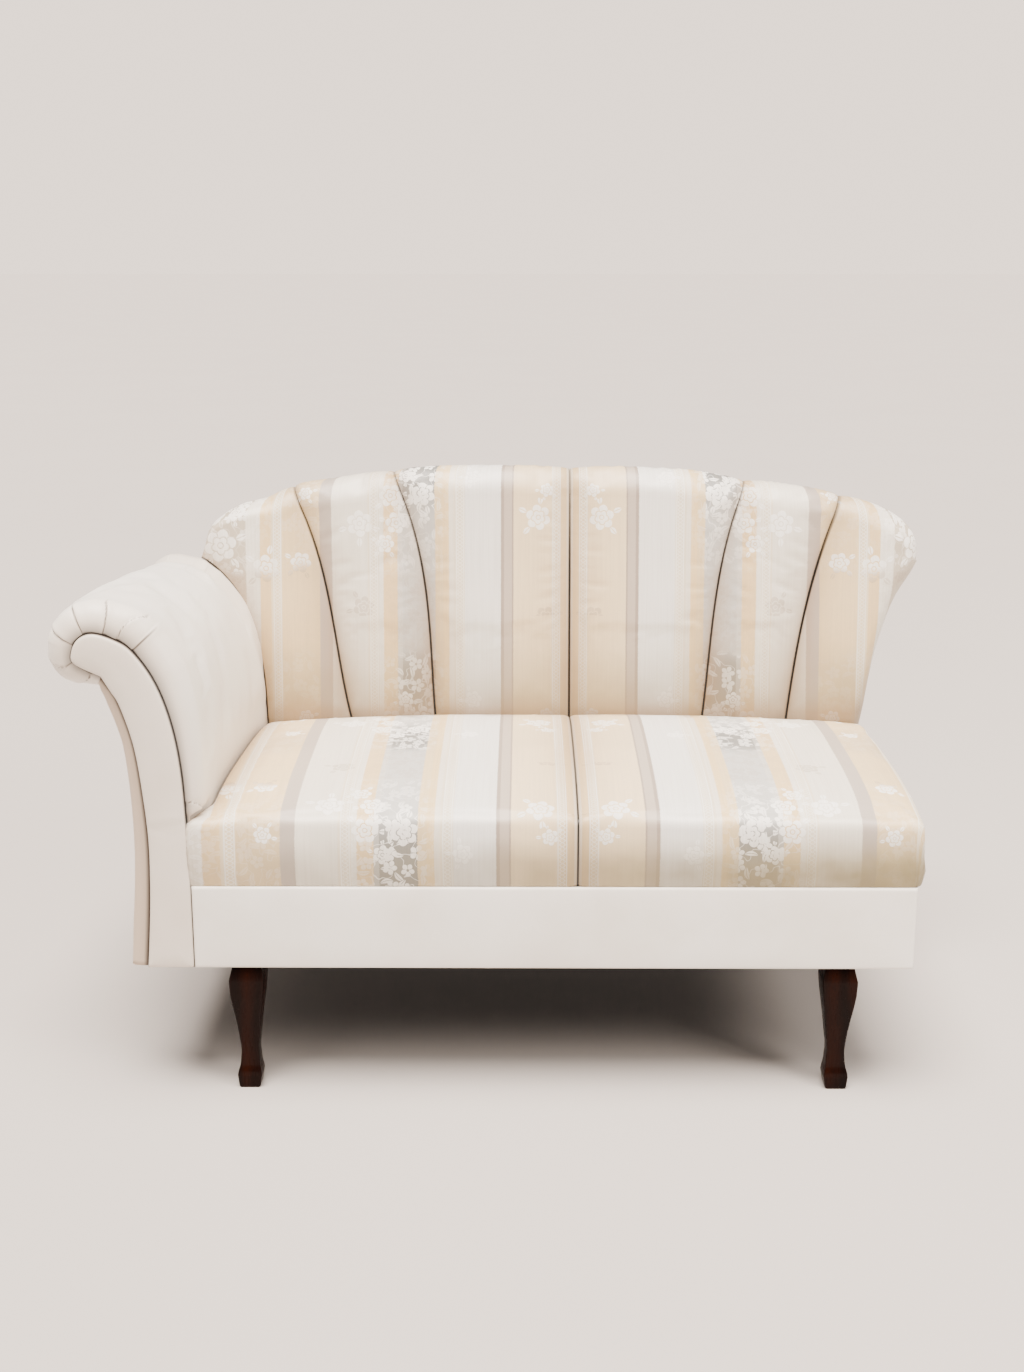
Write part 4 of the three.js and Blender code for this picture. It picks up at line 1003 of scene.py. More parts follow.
def paddedPlate(name, outline, faceAt, rearAt, look, mat):
    edge = respaced(outline, look["step"])
    border = [(n, (n + 1) % len(edge)) for n in range(len(edge))]
    flat, _, triangles, _, _, _ = delaunay_2d_cdt(plateSpots(edge, look), border, [], 1, 1e-4)
    way = 1 if rearAt(0) > faceAt(0) else -1
    front, rear, creaseShade = [], [], []
    for spot in flat:
        away = distanceTo(edge, spot.x, spot.y)
        roll = look["round"] * (1 - math.sqrt(1 - (1 - clamp(away / look["round"])) ** 2))
        swell = plateSwell(look, spot, away)
        front.append((spot.x, faceAt(spot.y) + way * (roll - swell), spot.y))
        rear.append((spot.x, rearAt(spot.y), spot.y))
        # painted shade: a dark line in the gap at the outline
        creaseShade.append(look["dark"] * (1 - smooth(away, 0, 1.3)))
    faces = closeShell([list(t) for t in triangles], len(front))
    # one even warm tone over the whole piece
    toneAndShade = [look.get("toneAndShade", 0)] * (2 * len(front))
    return meshFrom(name, front + rear, faces, mat, {"creaseShade": creaseShade + creaseShade, "toneAndShade": toneAndShade})


def armOutline(inset):
    foot = armPoint(0, 0)
    toe = outerAt(outerEnd, -inset)
    outline = [(foot.x - inset, foot.y)]
    outline += [tuple(scrollAt(row, -inset)) for row in steps(scrollEnd * 6, 0, scrollEnd)]
    outline += [tuple(outerAt(row, -inset)) for row in steps(outerEnd * 6, 0, outerEnd - 0.15)]
    outline.append((toe.x, foot.y))
    return outline


facingLook = {
    "step": 4,
    "rings": (0.7, 1.6, 3, 5.5),
    "grid": 7,
    "round": 4.5,
    "crown": 3.2,
    "reach": 26,
    "soft": 0.8,
    # dark: strength of the painted shade line at the edge; the next value is an even warm tone over the whole
    # facing
    "dark": 1,
    "toneAndShade": 0.42,
    "wrinkles": ((447, 2.0, 0.12), (430, 0.8, -0.1)),
    "wrinkleWidth": 7,
    "inset": 0.2,
    "front": -3,
    "back": 9.7,
}


def armFacing():
    outline = armOutline(facingLook["inset"])
    piece = paddedPlate("armFacing", outline, lambda z: facingLook["front"], lambda z: facingLook["back"],
                        facingLook, hide)
    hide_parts("arm_facing")
    return piece


# Back
railTop = baseTop - back["railDrop"] - couch["gap"]


def frontPlane(z):
    return seatDepth + back["lean"] * max(z - seatEdge, 0)


def framePlane(z):
    return backFrame + back["frameLean"] * (z - railTop)


def boardPlane(z):
    return framePlane(z) - back["board"] - 2 * couch["gap"]


def rearPlane(z):
    return couch["baseDepth"] + back["rearLean"] * (z - baseBottom)


crestShares = [
    (-1.046, 1),
    (-1.03, 0.701),
    (-0.99, 0.5525),
    (-0.935, 0.436),
    (-0.865, 0.356),
    (-0.79, 0.209),
    (-0.675, 0.149),
    (-0.505, 0.04),
    (-0.3, 0.0065),
    (0, 0),
    (0.29, 0.035),
    (0.5, 0.132),
    (0.63, 0.2),
    (0.772, 0.285),
    (0.85, 0.37),
    (0.92, 0.49),
    (0.97, 0.64),
    (0.995, 0.81),
    (1, 1),
]
sideShares = [
    (1, 1),
    (0.981, 0.943),
    (0.931, 0.81),
    (0.886, 0.595),
    (0.855, 0.34),
    (0.839, 0.196),
    (0.833, 0),
]
seamShares = [  # crest row, foot, and how far the seam leans at its foot and head
    (5, -0.568, 0.44, 0.44),
    (7, -0.361, 0.19, 0.41),
    (9, 0, 0, 0),
    (11, 0.351, 0.235, 0.345),
    (13, 0.6, 0.13, 0.385),
]
crestEnd = len(crestShares) - 1
lobeRow = back["lobeShare"] * scrollEnd
armTip = scrollAt(lobeRow, depthAtBack(lobeRow) + couch["softGap"])
tipHeight = crestHeight - couch["crestFall"]


def crestSpot(reach, fall):
    drop = crestHeight - armTip.y if reach < 0 else couch["crestFall"]
    return Vector((reach * couch["backReach"], crestHeight - fall * drop))


crestCurve = smoothCurve([armTip] + [crestSpot(*row) for row in crestShares[1:]])
sideCurve = smoothCurve([Vector((reach * couch["backReach"], lerp(padFoot, tipHeight, rise)))
                         for reach, rise in sideShares])


def crestAt(row, offset):
    return besideCurve(crestCurve, row / crestEnd, offset)


def sideAt(rise, inset):
    return besideCurve(sideCurve, 1 - rise, inset)


def armWallAt(rise, inset):
    row = rise * lobeRow
    return scrollAt(row, depthAtBack(row) + couch["softGap"] + inset)


def seamWall(seam, side):
    row, footShare, footLean, headLean = seam
    way = (footShare > 0) - (footShare < 0)
    fan = Vector((way * headLean, 1)).normalized()
    top = crestAt(row, 0) - fan * back["crestRound"]
    foot = Vector((footShare * couch["backReach"], padFoot))
    reach = (top.y - foot.y) / 3
    a = foot + Vector((way * footLean * reach, reach))
    b = top - Vector((way * headLean * reach, reach))
    shift = side * couch["gap"]

    def at(v):
        w = 1 - v
        return foot * w ** 3 + a * (3 * w * w * v) + b * (3 * w * v * v) + top * v ** 3 + Vector((shift, 0))

    return {"at": at, "fan": fan, "round": back["crestRound"], "row": row, "shift": shift, "seam": True}


def sideBulge(v):
    return sideNormal(sideCurve, 1 - v) * -1, lerp(back["sideRound"], back["crestRound"], v ** 2)


def outerWalls():
    armWall = {"at": lambda v: armWallAt(v, 0), "fan": sideNormal(crestCurve, 0) * -1, "round": 0, "row": 0,
               "shift": 0, "seam": True}

    def sidePoint(v):
        fan, swing = sideBulge(v)
        return sideAt(v, 0) - fan * swing

    sideWall = {"at": sidePoint, "fan": sideNormal(sideCurve, 0) * -1, "round": back["crestRound"],
                "row": crestEnd, "shift": 0, "seam": False}
    return armWall, sideWall


def openingEdge():  # where the channels' covers end on the rear
    inset = back["openingInset"]
    foot, end = back["openingFoot"], back["openingEnd"]
    edge = [armWallAt(rise, inset) for rise in steps(16, foot, back["openingArm"])]
    edge += [crestAt(row, inset) for row in steps(48, end, crestEnd - end)]
    edge += [sideAt(rise, inset) for rise in reversed(steps(16, foot, back["openingSide"]))]
    return [Vector((edge[0].x, padFoot))] + edge + [Vector((edge[-1].x, padFoot))]


def nearestOn(line, spot):
    best, found = 1e9, spot
    for a, b in zip(line, line[1:]):
        along = b - a
        share = clamp((spot - a).dot(along) / along.length_squared)
        here = a + along * share
        if (here - spot).length < best:
            best, found = (here - spot).length, here
    return found


def middleCrown(u):
    return math.sqrt(max(1 - abs(2 * u - 1) ** back["crownCurve"], 0))


def endCrown(u):
    rise = math.sqrt(max(1 - max(1 - 2 * u, 0) ** back["crownCurve"], 0))
    return rise - back["edgeEase"] * max(2 * u - 1, 0) ** 2


channels = {
    "columns": 34,
    "rows": 96,
    "turns": 18,  # rows over the crest
    "foot": 14,
    "pucker": 0.7,  # puckers along the seams: height, reach and size
    "puckerReach": 14,
    "puckerSize": 13,
    "soft": 1.6,
    "softSize": 85,
    "crestSoft": 0.9,
    "crestSize": 60,
    "crestHold": (0.6, 2.6),  # angles over the crest between which the cover is held more and more
    "armLap": 4,  # how far the core runs under the arm
    "hem": 2,  # thickness at the cover's end
    # wear: strength and heights of the painted shade towards the seat
    "wear": 0.6,
    "wearReach": (-10, 260),
    "loose": (-10, 210),  # heights over the seat between which the padding is let free
    "seamHold": (2, 34),
}
farOff = 1000  # past the reach of any seam's shade


class Channel:  # one padded flute of the back, between two seams
    def __init__(self, number, left, right, crownAt, rolled):
        self.number, self.left, self.right = number, left, right
        self.crownAt, self.rolled = crownAt, rolled
        self.us, self.vs = easedSteps(channels["columns"]), steps(channels["rows"])
        self.outer, self.inner, self.cloth = [], [], []
        self.seamGap, self.wear, self.free = [], [], []

    def headAt(self, u):
        left, right = self.left, self.right
        fan = left["fan"].lerp(right["fan"], u).normalized()
        swing = lerp(left["round"], right["round"], u)
        head = crestAt(lerp(left["row"], right["row"], u), 0) - fan * swing
        head.x += lerp(left["shift"], right["shift"], u)
        return head, fan, swing

    def flatAt(self, u, v):
        left, right = self.left["at"], self.right["at"]
        spot = left(v).lerp(right(v), u) + (self.headAt(u)[0] - left(1).lerp(right(1), u)) * v ** 2
        return spot.x, max(spot.y, padFoot)

    def away(self, u, v):  # distance from the nearer seam
        width = (self.right["at"](v) - self.left["at"](v)).length
        fromLeft = u * width if self.left["seam"] else farOff
        return min(fromLeft, (1 - u) * width if self.right["seam"] else farOff)

    def add(self, outerPoint, innerPoint, cloth, away, loose):
        self.outer.append(outerPoint)
        self.inner.append(innerPoint)
        self.cloth.append(cloth)
        foot = outerPoint[2] - seatEdge - channels["foot"]
        # the foot at the seat counts as a seam for the painted shade
        self.seamGap.append(min(away, max(foot, 3)))
        self.wear.append(channels["wear"] * (1 - smooth(foot, *channels["wearReach"])) ** 2)
        self.free.append(loose * smooth(away, *channels["seamHold"]) * smooth(foot, *channels["loose"]))

    def addFront(self):
        for u in self.us:
            for v in self.vs:
                x, z = self.flatAt(u, v)
                crown, away = self.crownAt(u), self.away(u, v)
                pucker = channels["pucker"] * math.exp(-away / channels["puckerReach"])
                pucker *= ripple(self.number * 50, z, x, channels["puckerSize"])
                soft = channels["soft"] * ripple(x, z, self.number, channels["softSize"]) * crown
                y = frontPlane(z) + back["groove"] * (1 - crown) + (pucker + soft) * smooth(away, 0, 4)
                self.add((x, y, z), (x, boardPlane(z), z), (x, z), away, 1)
        return gridFaces(len(self.us), len(self.vs))

    def rim(self):  # the front's edge from which the cover turns back
        iEnd, jEnd = len(self.us) - 1, len(self.vs) - 1
        edge = [(i, jEnd) for i in range(iEnd + 1)]
        if self.number == 1:
            edge = [(0, j) for j in range(jEnd)] + edge
        if self.rolled:
            edge += [(iEnd, j) for j in range(jEnd - 1, -1, -1)]
        return edge

    def besideArm(self, i):
        return self.number == 1 and i == 0

    def turning(self, i, j):  # which way the cover bulges as it turns back, and how far
        u, v = self.us[i], self.vs[j]
        if self.besideArm(i):
            return sideNormal(scrollCurve, v * lobeRow / scrollEnd) * -1, 0
        if j < len(self.vs) - 1:
            return sideBulge(v)
        _, fan, swing = self.headAt(u)
        return fan, max(swing - back["notch"] * (1 - self.crownAt(u)), 0)

    def turnBack(self, i, j, opening):  # over the crest, and across the rear to the opening's edge
        u, v = self.us[i], self.vs[j]
        x, z = self.flatAt(u, v)
        beside = self.besideArm(i)
        end = nearestOn(opening, Vector((x, z)))
        fan, swing = self.turning(i, j)
        front = frontPlane(z) + back["groove"] * (1 - self.crownAt(u))
        rear = rearPlane(z) + back["panel"]
        arc, last = 0.0, Vector((x, front, z))
        for k in range(1, channels["turns"] + 3):
            turn = min(k / channels["turns"], 1) * math.pi
            if k <= channels["turns"]:
                way = (1 - math.cos(turn)) / 2
                reach = swing * math.sin(turn)
                y = lerp(front, rear, way)
                x2, z2 = x + fan.x * reach, z + fan.y * reach
                soft = channels["crestSoft"] * ripple(x2, z2, y, channels["crestSize"])
                soft *= math.sin(turn) * (not beside)
                point = (x2 + fan.x * soft, y, max(z2 + fan.y * soft, padFoot))
                reach = -channels["armLap"] if beside else max(swing - back["coreInset"], 0) * math.sin(turn)
                y = lerp(boardPlane(z), rearPlane(z) + couch["gap"], way)
                innerPoint = (x + fan.x * reach, y, max(z + fan.y * reach, padFoot))
            else:
                x2, z2 = Vector((x, z)).lerp(end, (k - channels["turns"]) / 2)
                point = (x2, rearPlane(z2) + back["panel"], z2)
                hem = k == channels["turns"] + 2
                innerPoint = (x2, point[1] - channels["hem"] if hem else rearPlane(z2) + couch["gap"], z2)
            arc += (Vector(point) - last).length
            last = Vector(point)
            loose = 0 if beside else 1 - smooth(turn, *channels["crestHold"])
            seam = arc if beside else self.away(u, v)
            self.add(point, innerPoint, (x + fan.x * arc, z + fan.y * arc), seam, loose)

    def addRear(self):
        opening, faces, before = openingEdge(), [], None
        for i, j in self.rim():
            first = len(self.outer)
            self.turnBack(i, j, opening)
            strip = [i * len(self.vs) + j] + list(range(first, len(self.outer)))
            if before:
                faces += [list(face) for face in zip(before, strip, strip[1:], before[1:])]
            before = strip
        return faces

    def build(self):
        faces = self.addFront() + self.addRear()
        marks = {"seamGap": self.seamGap * 2, "wear": self.wear * 2}
        piece = meshFrom(f"backChannel{self.number}", self.outer + self.inner,
                         closeShell(faces, len(self.outer)), damask, marks, self.cloth * 2)
        settle(piece, self.free + [0.0] * len(self.inner))
        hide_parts(f"back_channel_{self.number}")
        return piece


def backChannels():
    armWall, sideWall = outerWalls()
    made = []
    count = len(seamShares) + 1
    for n in range(count):
        left = armWall if n == 0 else seamWall(seamShares[n - 1], 1)
        right = sideWall if n == count - 1 else seamWall(seamShares[n], -1)
        crowns = {0: lambda u: endCrown(1 - u), count - 1: endCrown}
        channel = Channel(n + 1, left, right, crowns.get(n, middleCrown), n == count - 1)
        made.append(channel.build())
        print("channel", n + 1, "made")
    return made


# Cloth: each padded piece is blown up a little inside its held edges, as wadding fills a cover
settling = {
    "frames": 16,
    "quality": 5,
    "mass": 0.25,
    "pressure": 2.2,
    "stiffness": 16,
    "bending": 0.6,
    "spare": 0.012,  # share of extra cloth
    "most": 0.0045,  # metres that a free point may move
}


def settle(piece, free):  # free says how far each point may leave its place, from 0 to 1
    count = len(piece.data.vertices)
    group = piece.vertex_groups.new(name="held")
    for n in range(count):
        group.add([n], 1 - free[n], "REPLACE")
    modifier = piece.modifiers.new("settle", "CLOTH")
    cloth = modifier.settings
    cloth.quality = settling["quality"]
    cloth.mass = settling["mass"]
    cloth.tension_stiffness = cloth.compression_stiffness = settling["stiffness"]
    cloth.shear_stiffness = settling["stiffness"] / 3
    cloth.bending_stiffness = settling["bending"]
    cloth.shrink_min = -settling["spare"]
    cloth.use_pressure = True
    cloth.uniform_pressure_force = settling["pressure"]
    cloth.vertex_group_mass = "held"
    cloth.pin_stiffness = 1
    cloth.effector_weights.gravity = 0
    modifier.collision_settings.use_collision = False
    modifier.collision_settings.use_self_collision = False
    modifier.point_cache.frame_start = 1
    modifier.point_cache.frame_end = settling["frames"]
    scene = bpy.context.scene
    for step in range(1, settling["frames"] + 1):
        scene.frame_set(step)
    graph = bpy.context.evaluated_depsgraph_get()
    shaped = piece.evaluated_get(graph).to_mesh()
    moved = [vertex.co.copy() for vertex in shaped.vertices]
    piece.evaluated_get(graph).to_mesh_clear()
    piece.modifiers.remove(modifier)
    piece.vertex_groups.clear()
    farthest = 0.0
    for vertex, spot, loose in zip(piece.data.vertices, moved, free):
        shift = spot - vertex.co
        limit = settling["most"] * loose
        if shift.length > limit:
            shift *= limit / shift.length
        vertex.co += shift
        farthest = max(farthest, shift.length)
    piece.data.update()
    scene.frame_set(1)
    print("settled", piece.name, "by up to", round(farthest * 1000, 1), "mm")


# Seat
def seatLeft(y):
    return armPoint(0, 0).x + armDepth(0, y) + couch["softGap"]


def seatTop(u, v):
    acrossFall = abs(2 * u - 1) ** seat["curve"]
    alongFall = abs(2 * v - 1) ** seat["curve"]
    swell = lerp(*seat["swellShares"], v) * seat["swell"]
    return seatEdge + seat["crown"] * (1 - alongFall) + swell * (1 - acrossFall)


def columnX(column, left, right):
    return column[1] if column[0] == "x" else lerp(left, right, column[1])


def seatColumns():  # shares of the seat's width, and places beside its centre seam
    columns = [("share", s) for s in easedSteps(seat["columns"]) if abs(s - seat["seamShare"]) > 0.02]
    columns += [("x", side * x) for side in (-1, 1) for x in seat["nearSeam"]] + [("x", 0)]
    return sorted(columns, key=lambda column: columnX(column, *seat["middleSpan"]))


def seatSpot(column, v, outX, outY, depth):  # depth: 0 on top, 0.5 past the round edge, 1 at the foot
    near = -couch["frontProud"]
    far = seatDepth - 2 * couch["softGap"] - couch["frontProud"]
    roundY = seat["round"] if v < 0.5 else seat["tuckRound"]
    y = lerp(near + roundY, far - roundY, v)
    left = seatLeft(y) + seat["tuckRound"]
    right = couch["seatReach"] - seat["round"]
    x = columnX(column, left, right)
    if depth is None:  # underneath
        return (x, y, padFoot), (x, seat["pattern"] - y), farOff, 0.0, 0.0
    u = clamp((x - left) / (right - left))
    top = seatTop(u, v) + seat["soft"] * ripple(x, y, 11, seat["softSize"])
    roundX = seat["tuckRound"] if outX < 0 else seat["round"]
    valley = math.exp(-(abs(x) / seat["seamWidth"]) ** 1.3) * seat["seamDepth"]
    turn = min(depth, 0.5) / 0.5 * math.pi / 2
    swing = math.sin(turn)
    size = max(roundX * abs(outX), roundY * abs(outY))
    z = top - size * (1 - math.cos(turn)) if (outX or outY) else top
    hiddenEdge = outX < 0 or outY > 0
    foot = padFoot if hiddenEdge else baseTop + couch["gap"]
    down = clamp((depth - 0.5) / 0.5)
    puff = 0.0
    if down > 0:
        z = lerp(z, foot, down)
        puff = seat["bulge"] * math.sin(math.pi * down) - seat["tuck"] * down ** 3
    corner = math.sqrt(0.5) if outX and outY else 1
    px = x + outX * (roundX * swing * corner + (puff if outX > 0 else 0))
    py = y + outY * (roundY * swing * corner + (puff if outY < 0 else 0))
    if outY < 0:  # the front left corner reaches the arm's facing
        spare = left + seat["tuckRound"] * (1 - math.sqrt(0.5)) + couch["armSeam"] - seat["reveal"]
        px -= spare * swing * (1 - smooth(x - left, 0, seat["cornerBlend"]))
    arc = size * turn + max(top - size - z, 0) * (down > 0)
    if outY < 0:
        py += valley * 0.8 * swing
        if down == 0:
            z -= valley * math.cos(turn)
    elif not outX:
        z -= valley
    # the seat's edges at the arm and the back count as seams for the painted shade
    beside = min(x - left, far - y) + seat["edgeShade"]
    seamGap = min(farOff if outX else abs(x), max(beside, 3))
    # painted shade on the lower front and right faces, stronger to the right
    wear = lerp(*seat["wear"], u) * smooth(down, -0.1, 0.7) * (outY < 0 or outX > 0)
    free = 0 if hiddenEdge else smooth(abs(x), 2, 32) * smooth(beside, 6, 60)
    cloth = (x + outX * arc, seat["pattern"] - y - outY * arc)
    return (px, py, z), cloth, seamGap, wear, free * smooth(1 - down, 0, 0.5)


def seatCushion():
    columns, ys = seatColumns(), easedSteps(seat["rows"])
    depths = [0, 0.1, 0.2, 0.3, 0.4, 0.5, 0.575, 0.675, 0.775, 0.875, 0.95, 0.985, 1, None]
    keys, faces = padFaces(len(columns), len(ys), len(depths))
    found = []
    for (i, j, k) in keys:
        outX = (i == len(columns) - 1) - (i == 0)
        outY = (j == len(ys) - 1) - (j == 0)
        found.append(seatSpot(columns[i], ys[j], outX, outY, depths[k]))
    points, cloth, seamGap, wear, free = zip(*found)
    piece = meshFrom("seatCushion", points, faces, damask, {"seamGap": seamGap, "wear": wear}, cloth)
    settle(piece, free)
    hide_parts("seat_cover", "seat_foam")
    return piece


# Borders along the base
# dark: strength of the painted shade where the edge turns under
borderLook = {"round": 5, "crown": 2.2, "thick": 13, "soft": 0.7, "dark": 0.85}


def border(name, node, width, toPlace):
    height = baseTop - baseBottom
    us, vs = easedSteps(60), easedSteps(18)
    turns = [0, 0.18, 0.36, 0.54, 0.72, 0.88, 1, 2]
    keys, faces = padFaces(len(us), len(vs), len(turns))
    points, creaseShade = [], []
    size = borderLook["round"]
    for (i, j, k) in keys:
        u, v = us[i], vs[j]
        outU = (i == len(us) - 1) - (i == 0)
        outV = (j == len(vs) - 1) - (j == 0)
        turn = min(turns[k], 1) * math.pi / 2
        swing = math.sin(turn)
        depth = size * (1 - math.cos(turn)) if turns[k] <= 1 else borderLook["thick"]
        swell = borderLook["crown"] * (1 - (2 * v - 1) ** 4) * (1 - (2 * u - 1) ** 12) if turns[k] <= 1 else 0
        soft = borderLook["soft"] * ripple(u * width, v * height, len(name), 90) * (1 - (2 * v - 1) ** 2)
        along = lerp(size, width - size, u) + outU * size * swing
        up = lerp(size, height - size, v) + outV * size * swing
        points.append(toPlace(along, up, depth - (swell + soft) * (turns[k] < 1)))
        # painted shade where the edge turns under and on the hidden back
        creaseShade.append(borderLook["dark"] * smooth(turns[k], 0.8, 1))
    piece = meshFrom(name, points, faces, hide, {"creaseShade": creaseShade})
    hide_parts(node)
    return piece


def borders():
    left = -couch["armSeam"] + couch["gap"]
    proud = couch["frontProud"]
    front = border("frontBorder", "front_border", couch["baseReach"] - left,
                   lambda along, up, depth: (left + along, depth - proud, baseBottom + up))
    near = borderLook["thick"] - proud + couch["gap"]
    length = couch["baseDepth"] - near

    def sideSpot(along, up, depth):
        reach = along * (rearPlane(baseBottom + up) - near) / length
        return couch["baseReach"] - depth, near + reach, baseBottom + up

    side = border("rightBorder", "right_border", length, sideSpot)
    return [front, side]


# Rear of the arm and of the back
rearLook = {
    "step": 9,
    "rings": (0.6, 1.8, 4),
    "grid": 16,
    "round": 3.5,
    "crown": 3,
    "reach": 60,
    "soft": 0.8,
    # strength of the painted shade line at the edge
    "dark": 0.8,
    "thick": 8,
    "lap": 4,  # past the arm's seam, where the two rear panels meet
}
outsideLook = {**rearLook, "step": 14, "grid": 26, "reach": 90}


def armRearPanel():
    foot = -(couch["armSeam"] + rearLook["lap"] + 2 * couch["gap"])
    outline = [(foot, baseBottom), (foot, padFoot)]
    for row in steps(scrollEnd * 5, 0, scrollEnd):
        spot = scrollAt(row, armDepth(row, couch["baseDepth"]) - 1)
        outline.append((spot.x, max(spot.y, padFoot)))
    for row in steps(outerEnd * 4, 0.3, outerEnd):
        spot = outerAt(row, 0)
        thick = arm["outerPad"] * tableAt(outerShares, row, 2) - 1
        outline.append((spot.x - thick, max(spot.y, baseBottom)))
    near = couch["baseDepth"] + couch["gap"]
    piece = paddedPlate("armRearPanel", outline, lambda z: near + rearLook["thick"], lambda z: near,
                        rearLook, hide)
    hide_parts("arm_rear_panel")
    return piece


def outsideBack():
    outline = [tuple(spot) for spot in openingEdge()[1:-1]]
    left, right = outline[0][0], outline[-1][0]
    foot = -(couch["armSeam"] + rearLook["lap"])
    outline += [(right, baseTop), (couch["baseReach"], baseTop), (couch["baseReach"], baseBottom)]
    outline += [(foot, baseBottom), (foot, baseTop), (left, baseTop)]
    piece = paddedPlate("outsideBack", outline, lambda z: rearPlane(z) + back["panel"] - 1,
                        lambda z: rearPlane(z) + couch["gap"], outsideLook, hide)
    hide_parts("outside_back")
    return piece


# Legs: square cabriole, each row a share of its height and of half the knee, outer and inner side
leg = {"knee": 55, "arris": 3.2, "arrisTurns": 5, "set": 78, "inFromEnd": 110, "sharp": 40}
legShares = [
    (0, 0.66, 0.5),
    (0.012, 0.685, 0.53),
    (0.1, 0.745, 0.64),
    (0.135, 0.7, 0.6),
    (0.18, 0.6, 0.54),
    (0.24, 0.545, 0.51),
    (0.31, 0.52, 0.49),
    (0.44, 0.605, 0.59),
    (0.586, 0.76, 0.71),
    (0.741, 0.94, 0.865),
    (0.84, 0.99, 0.94),
    (0.888, 1, 0.965),
    (1, 0.8, 0.88),
]


def legRows():
    body = legShares[2:-1]
    curve = smoothCurve([Vector(row) for row in body])
    foot = [(0, 0.64, 0.48), (0.004, 0.66, 0.505), legShares[1], (0.055, 0.716, 0.585), (0.093, 0.74, 0.634)]
    shoulder = [(0.896, 0.993, 0.96), (0.945, 0.9, 0.925), (0.995, 0.806, 0.883), (1, 0.79, 0.87)]
    return foot + [tuple(curve(share)) for share in steps(60)] + shoulder


def makeLeg(name, node, x, y, outX, outY):
    points, faces = [], []
    turns = leg["arrisTurns"]
    ring = 4 * (turns + 1)
    rows = legRows()
    for rise, outer, inner in rows:
        for n, (a, b) in enumerate(((1, 1), (-1, 1), (-1, -1), (1, -1))):
            reachX = (outer if a > 0 else inner) * leg["knee"] / 2 - leg["arris"]
            reachY = (outer if b > 0 else inner) * leg["knee"] / 2 - leg["arris"]
            for t in range(turns + 1):
                angle = (n + t / turns) * math.pi / 2
                px = a * reachX + leg["arris"] * math.cos(angle)
                py = b * reachY + leg["arris"] * math.sin(angle)
                points.append((x + outX * px, y + outY * py, rise * legHeight))
    for n in range(len(rows) - 1):
        for s in range(ring):
            a, b = n * ring + s, n * ring + (s + 1) % ring
            faces.append([a, b, b + ring, a + ring])
    faces.append(list(range(ring))[::-1])
    faces.append([(len(rows) - 1) * ring + s for s in range(ring)])
    piece = meshFrom(name, points, faces, mahogany)
    piece.data.set_sharp_from_angle(angle=math.radians(leg["sharp"]))
    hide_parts(node)
    return piece


def legs():
    made = []
    half = leg["knee"] / 2
    xs = {"left": (-couch["armSeam"] + leg["set"], -1), "right": (couch["baseReach"] - leg["inFromEnd"], 1)}
    ys = {"front": (half, -1), "rear": (couch["baseDepth"] - half, 1)}
    for row, (y, outY) in ys.items():
        for side, (x, outX) in xs.items():
            name = "leg" + row.capitalize() + side.capitalize()
            made.append(makeLeg(name, f"leg_{row}_{side}", x, y, outX, outY))
    return made


# Dust cover: black cambric pulled over the underside
dust = {"sag": 5, "thick": 0.5, "ease": 0.6, "ripple": 0.6}


def dustCover():
    low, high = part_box("dust_cover")
    xs, ys = steps(60), steps(32)
    faces = gridFaces(len(xs), len(ys))
    top, bottom = [], []
    for u in xs:
        for v in ys:
            x = lerp(low.x, high.x, u) * 1000 - seamX
            y = lerp(low.y, high.y, v) * 1000 - frontY
            hang = math.sin(math.pi * u) ** dust["ease"] * math.sin(math.pi * v) ** dust["ease"]
            z = high.z * 1000 - dust["sag"] * hang - dust["ripple"] * hang * ripple(x, y, 5, 60)
            top.append((x, y, z))
            bottom.append((x, y, z - dust["thick"]))
    piece = meshFrom("dustCover", top + bottom, closeShell(faces, len(top)), hidden["cambric"])
    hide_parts("dust_cover")
    return piece


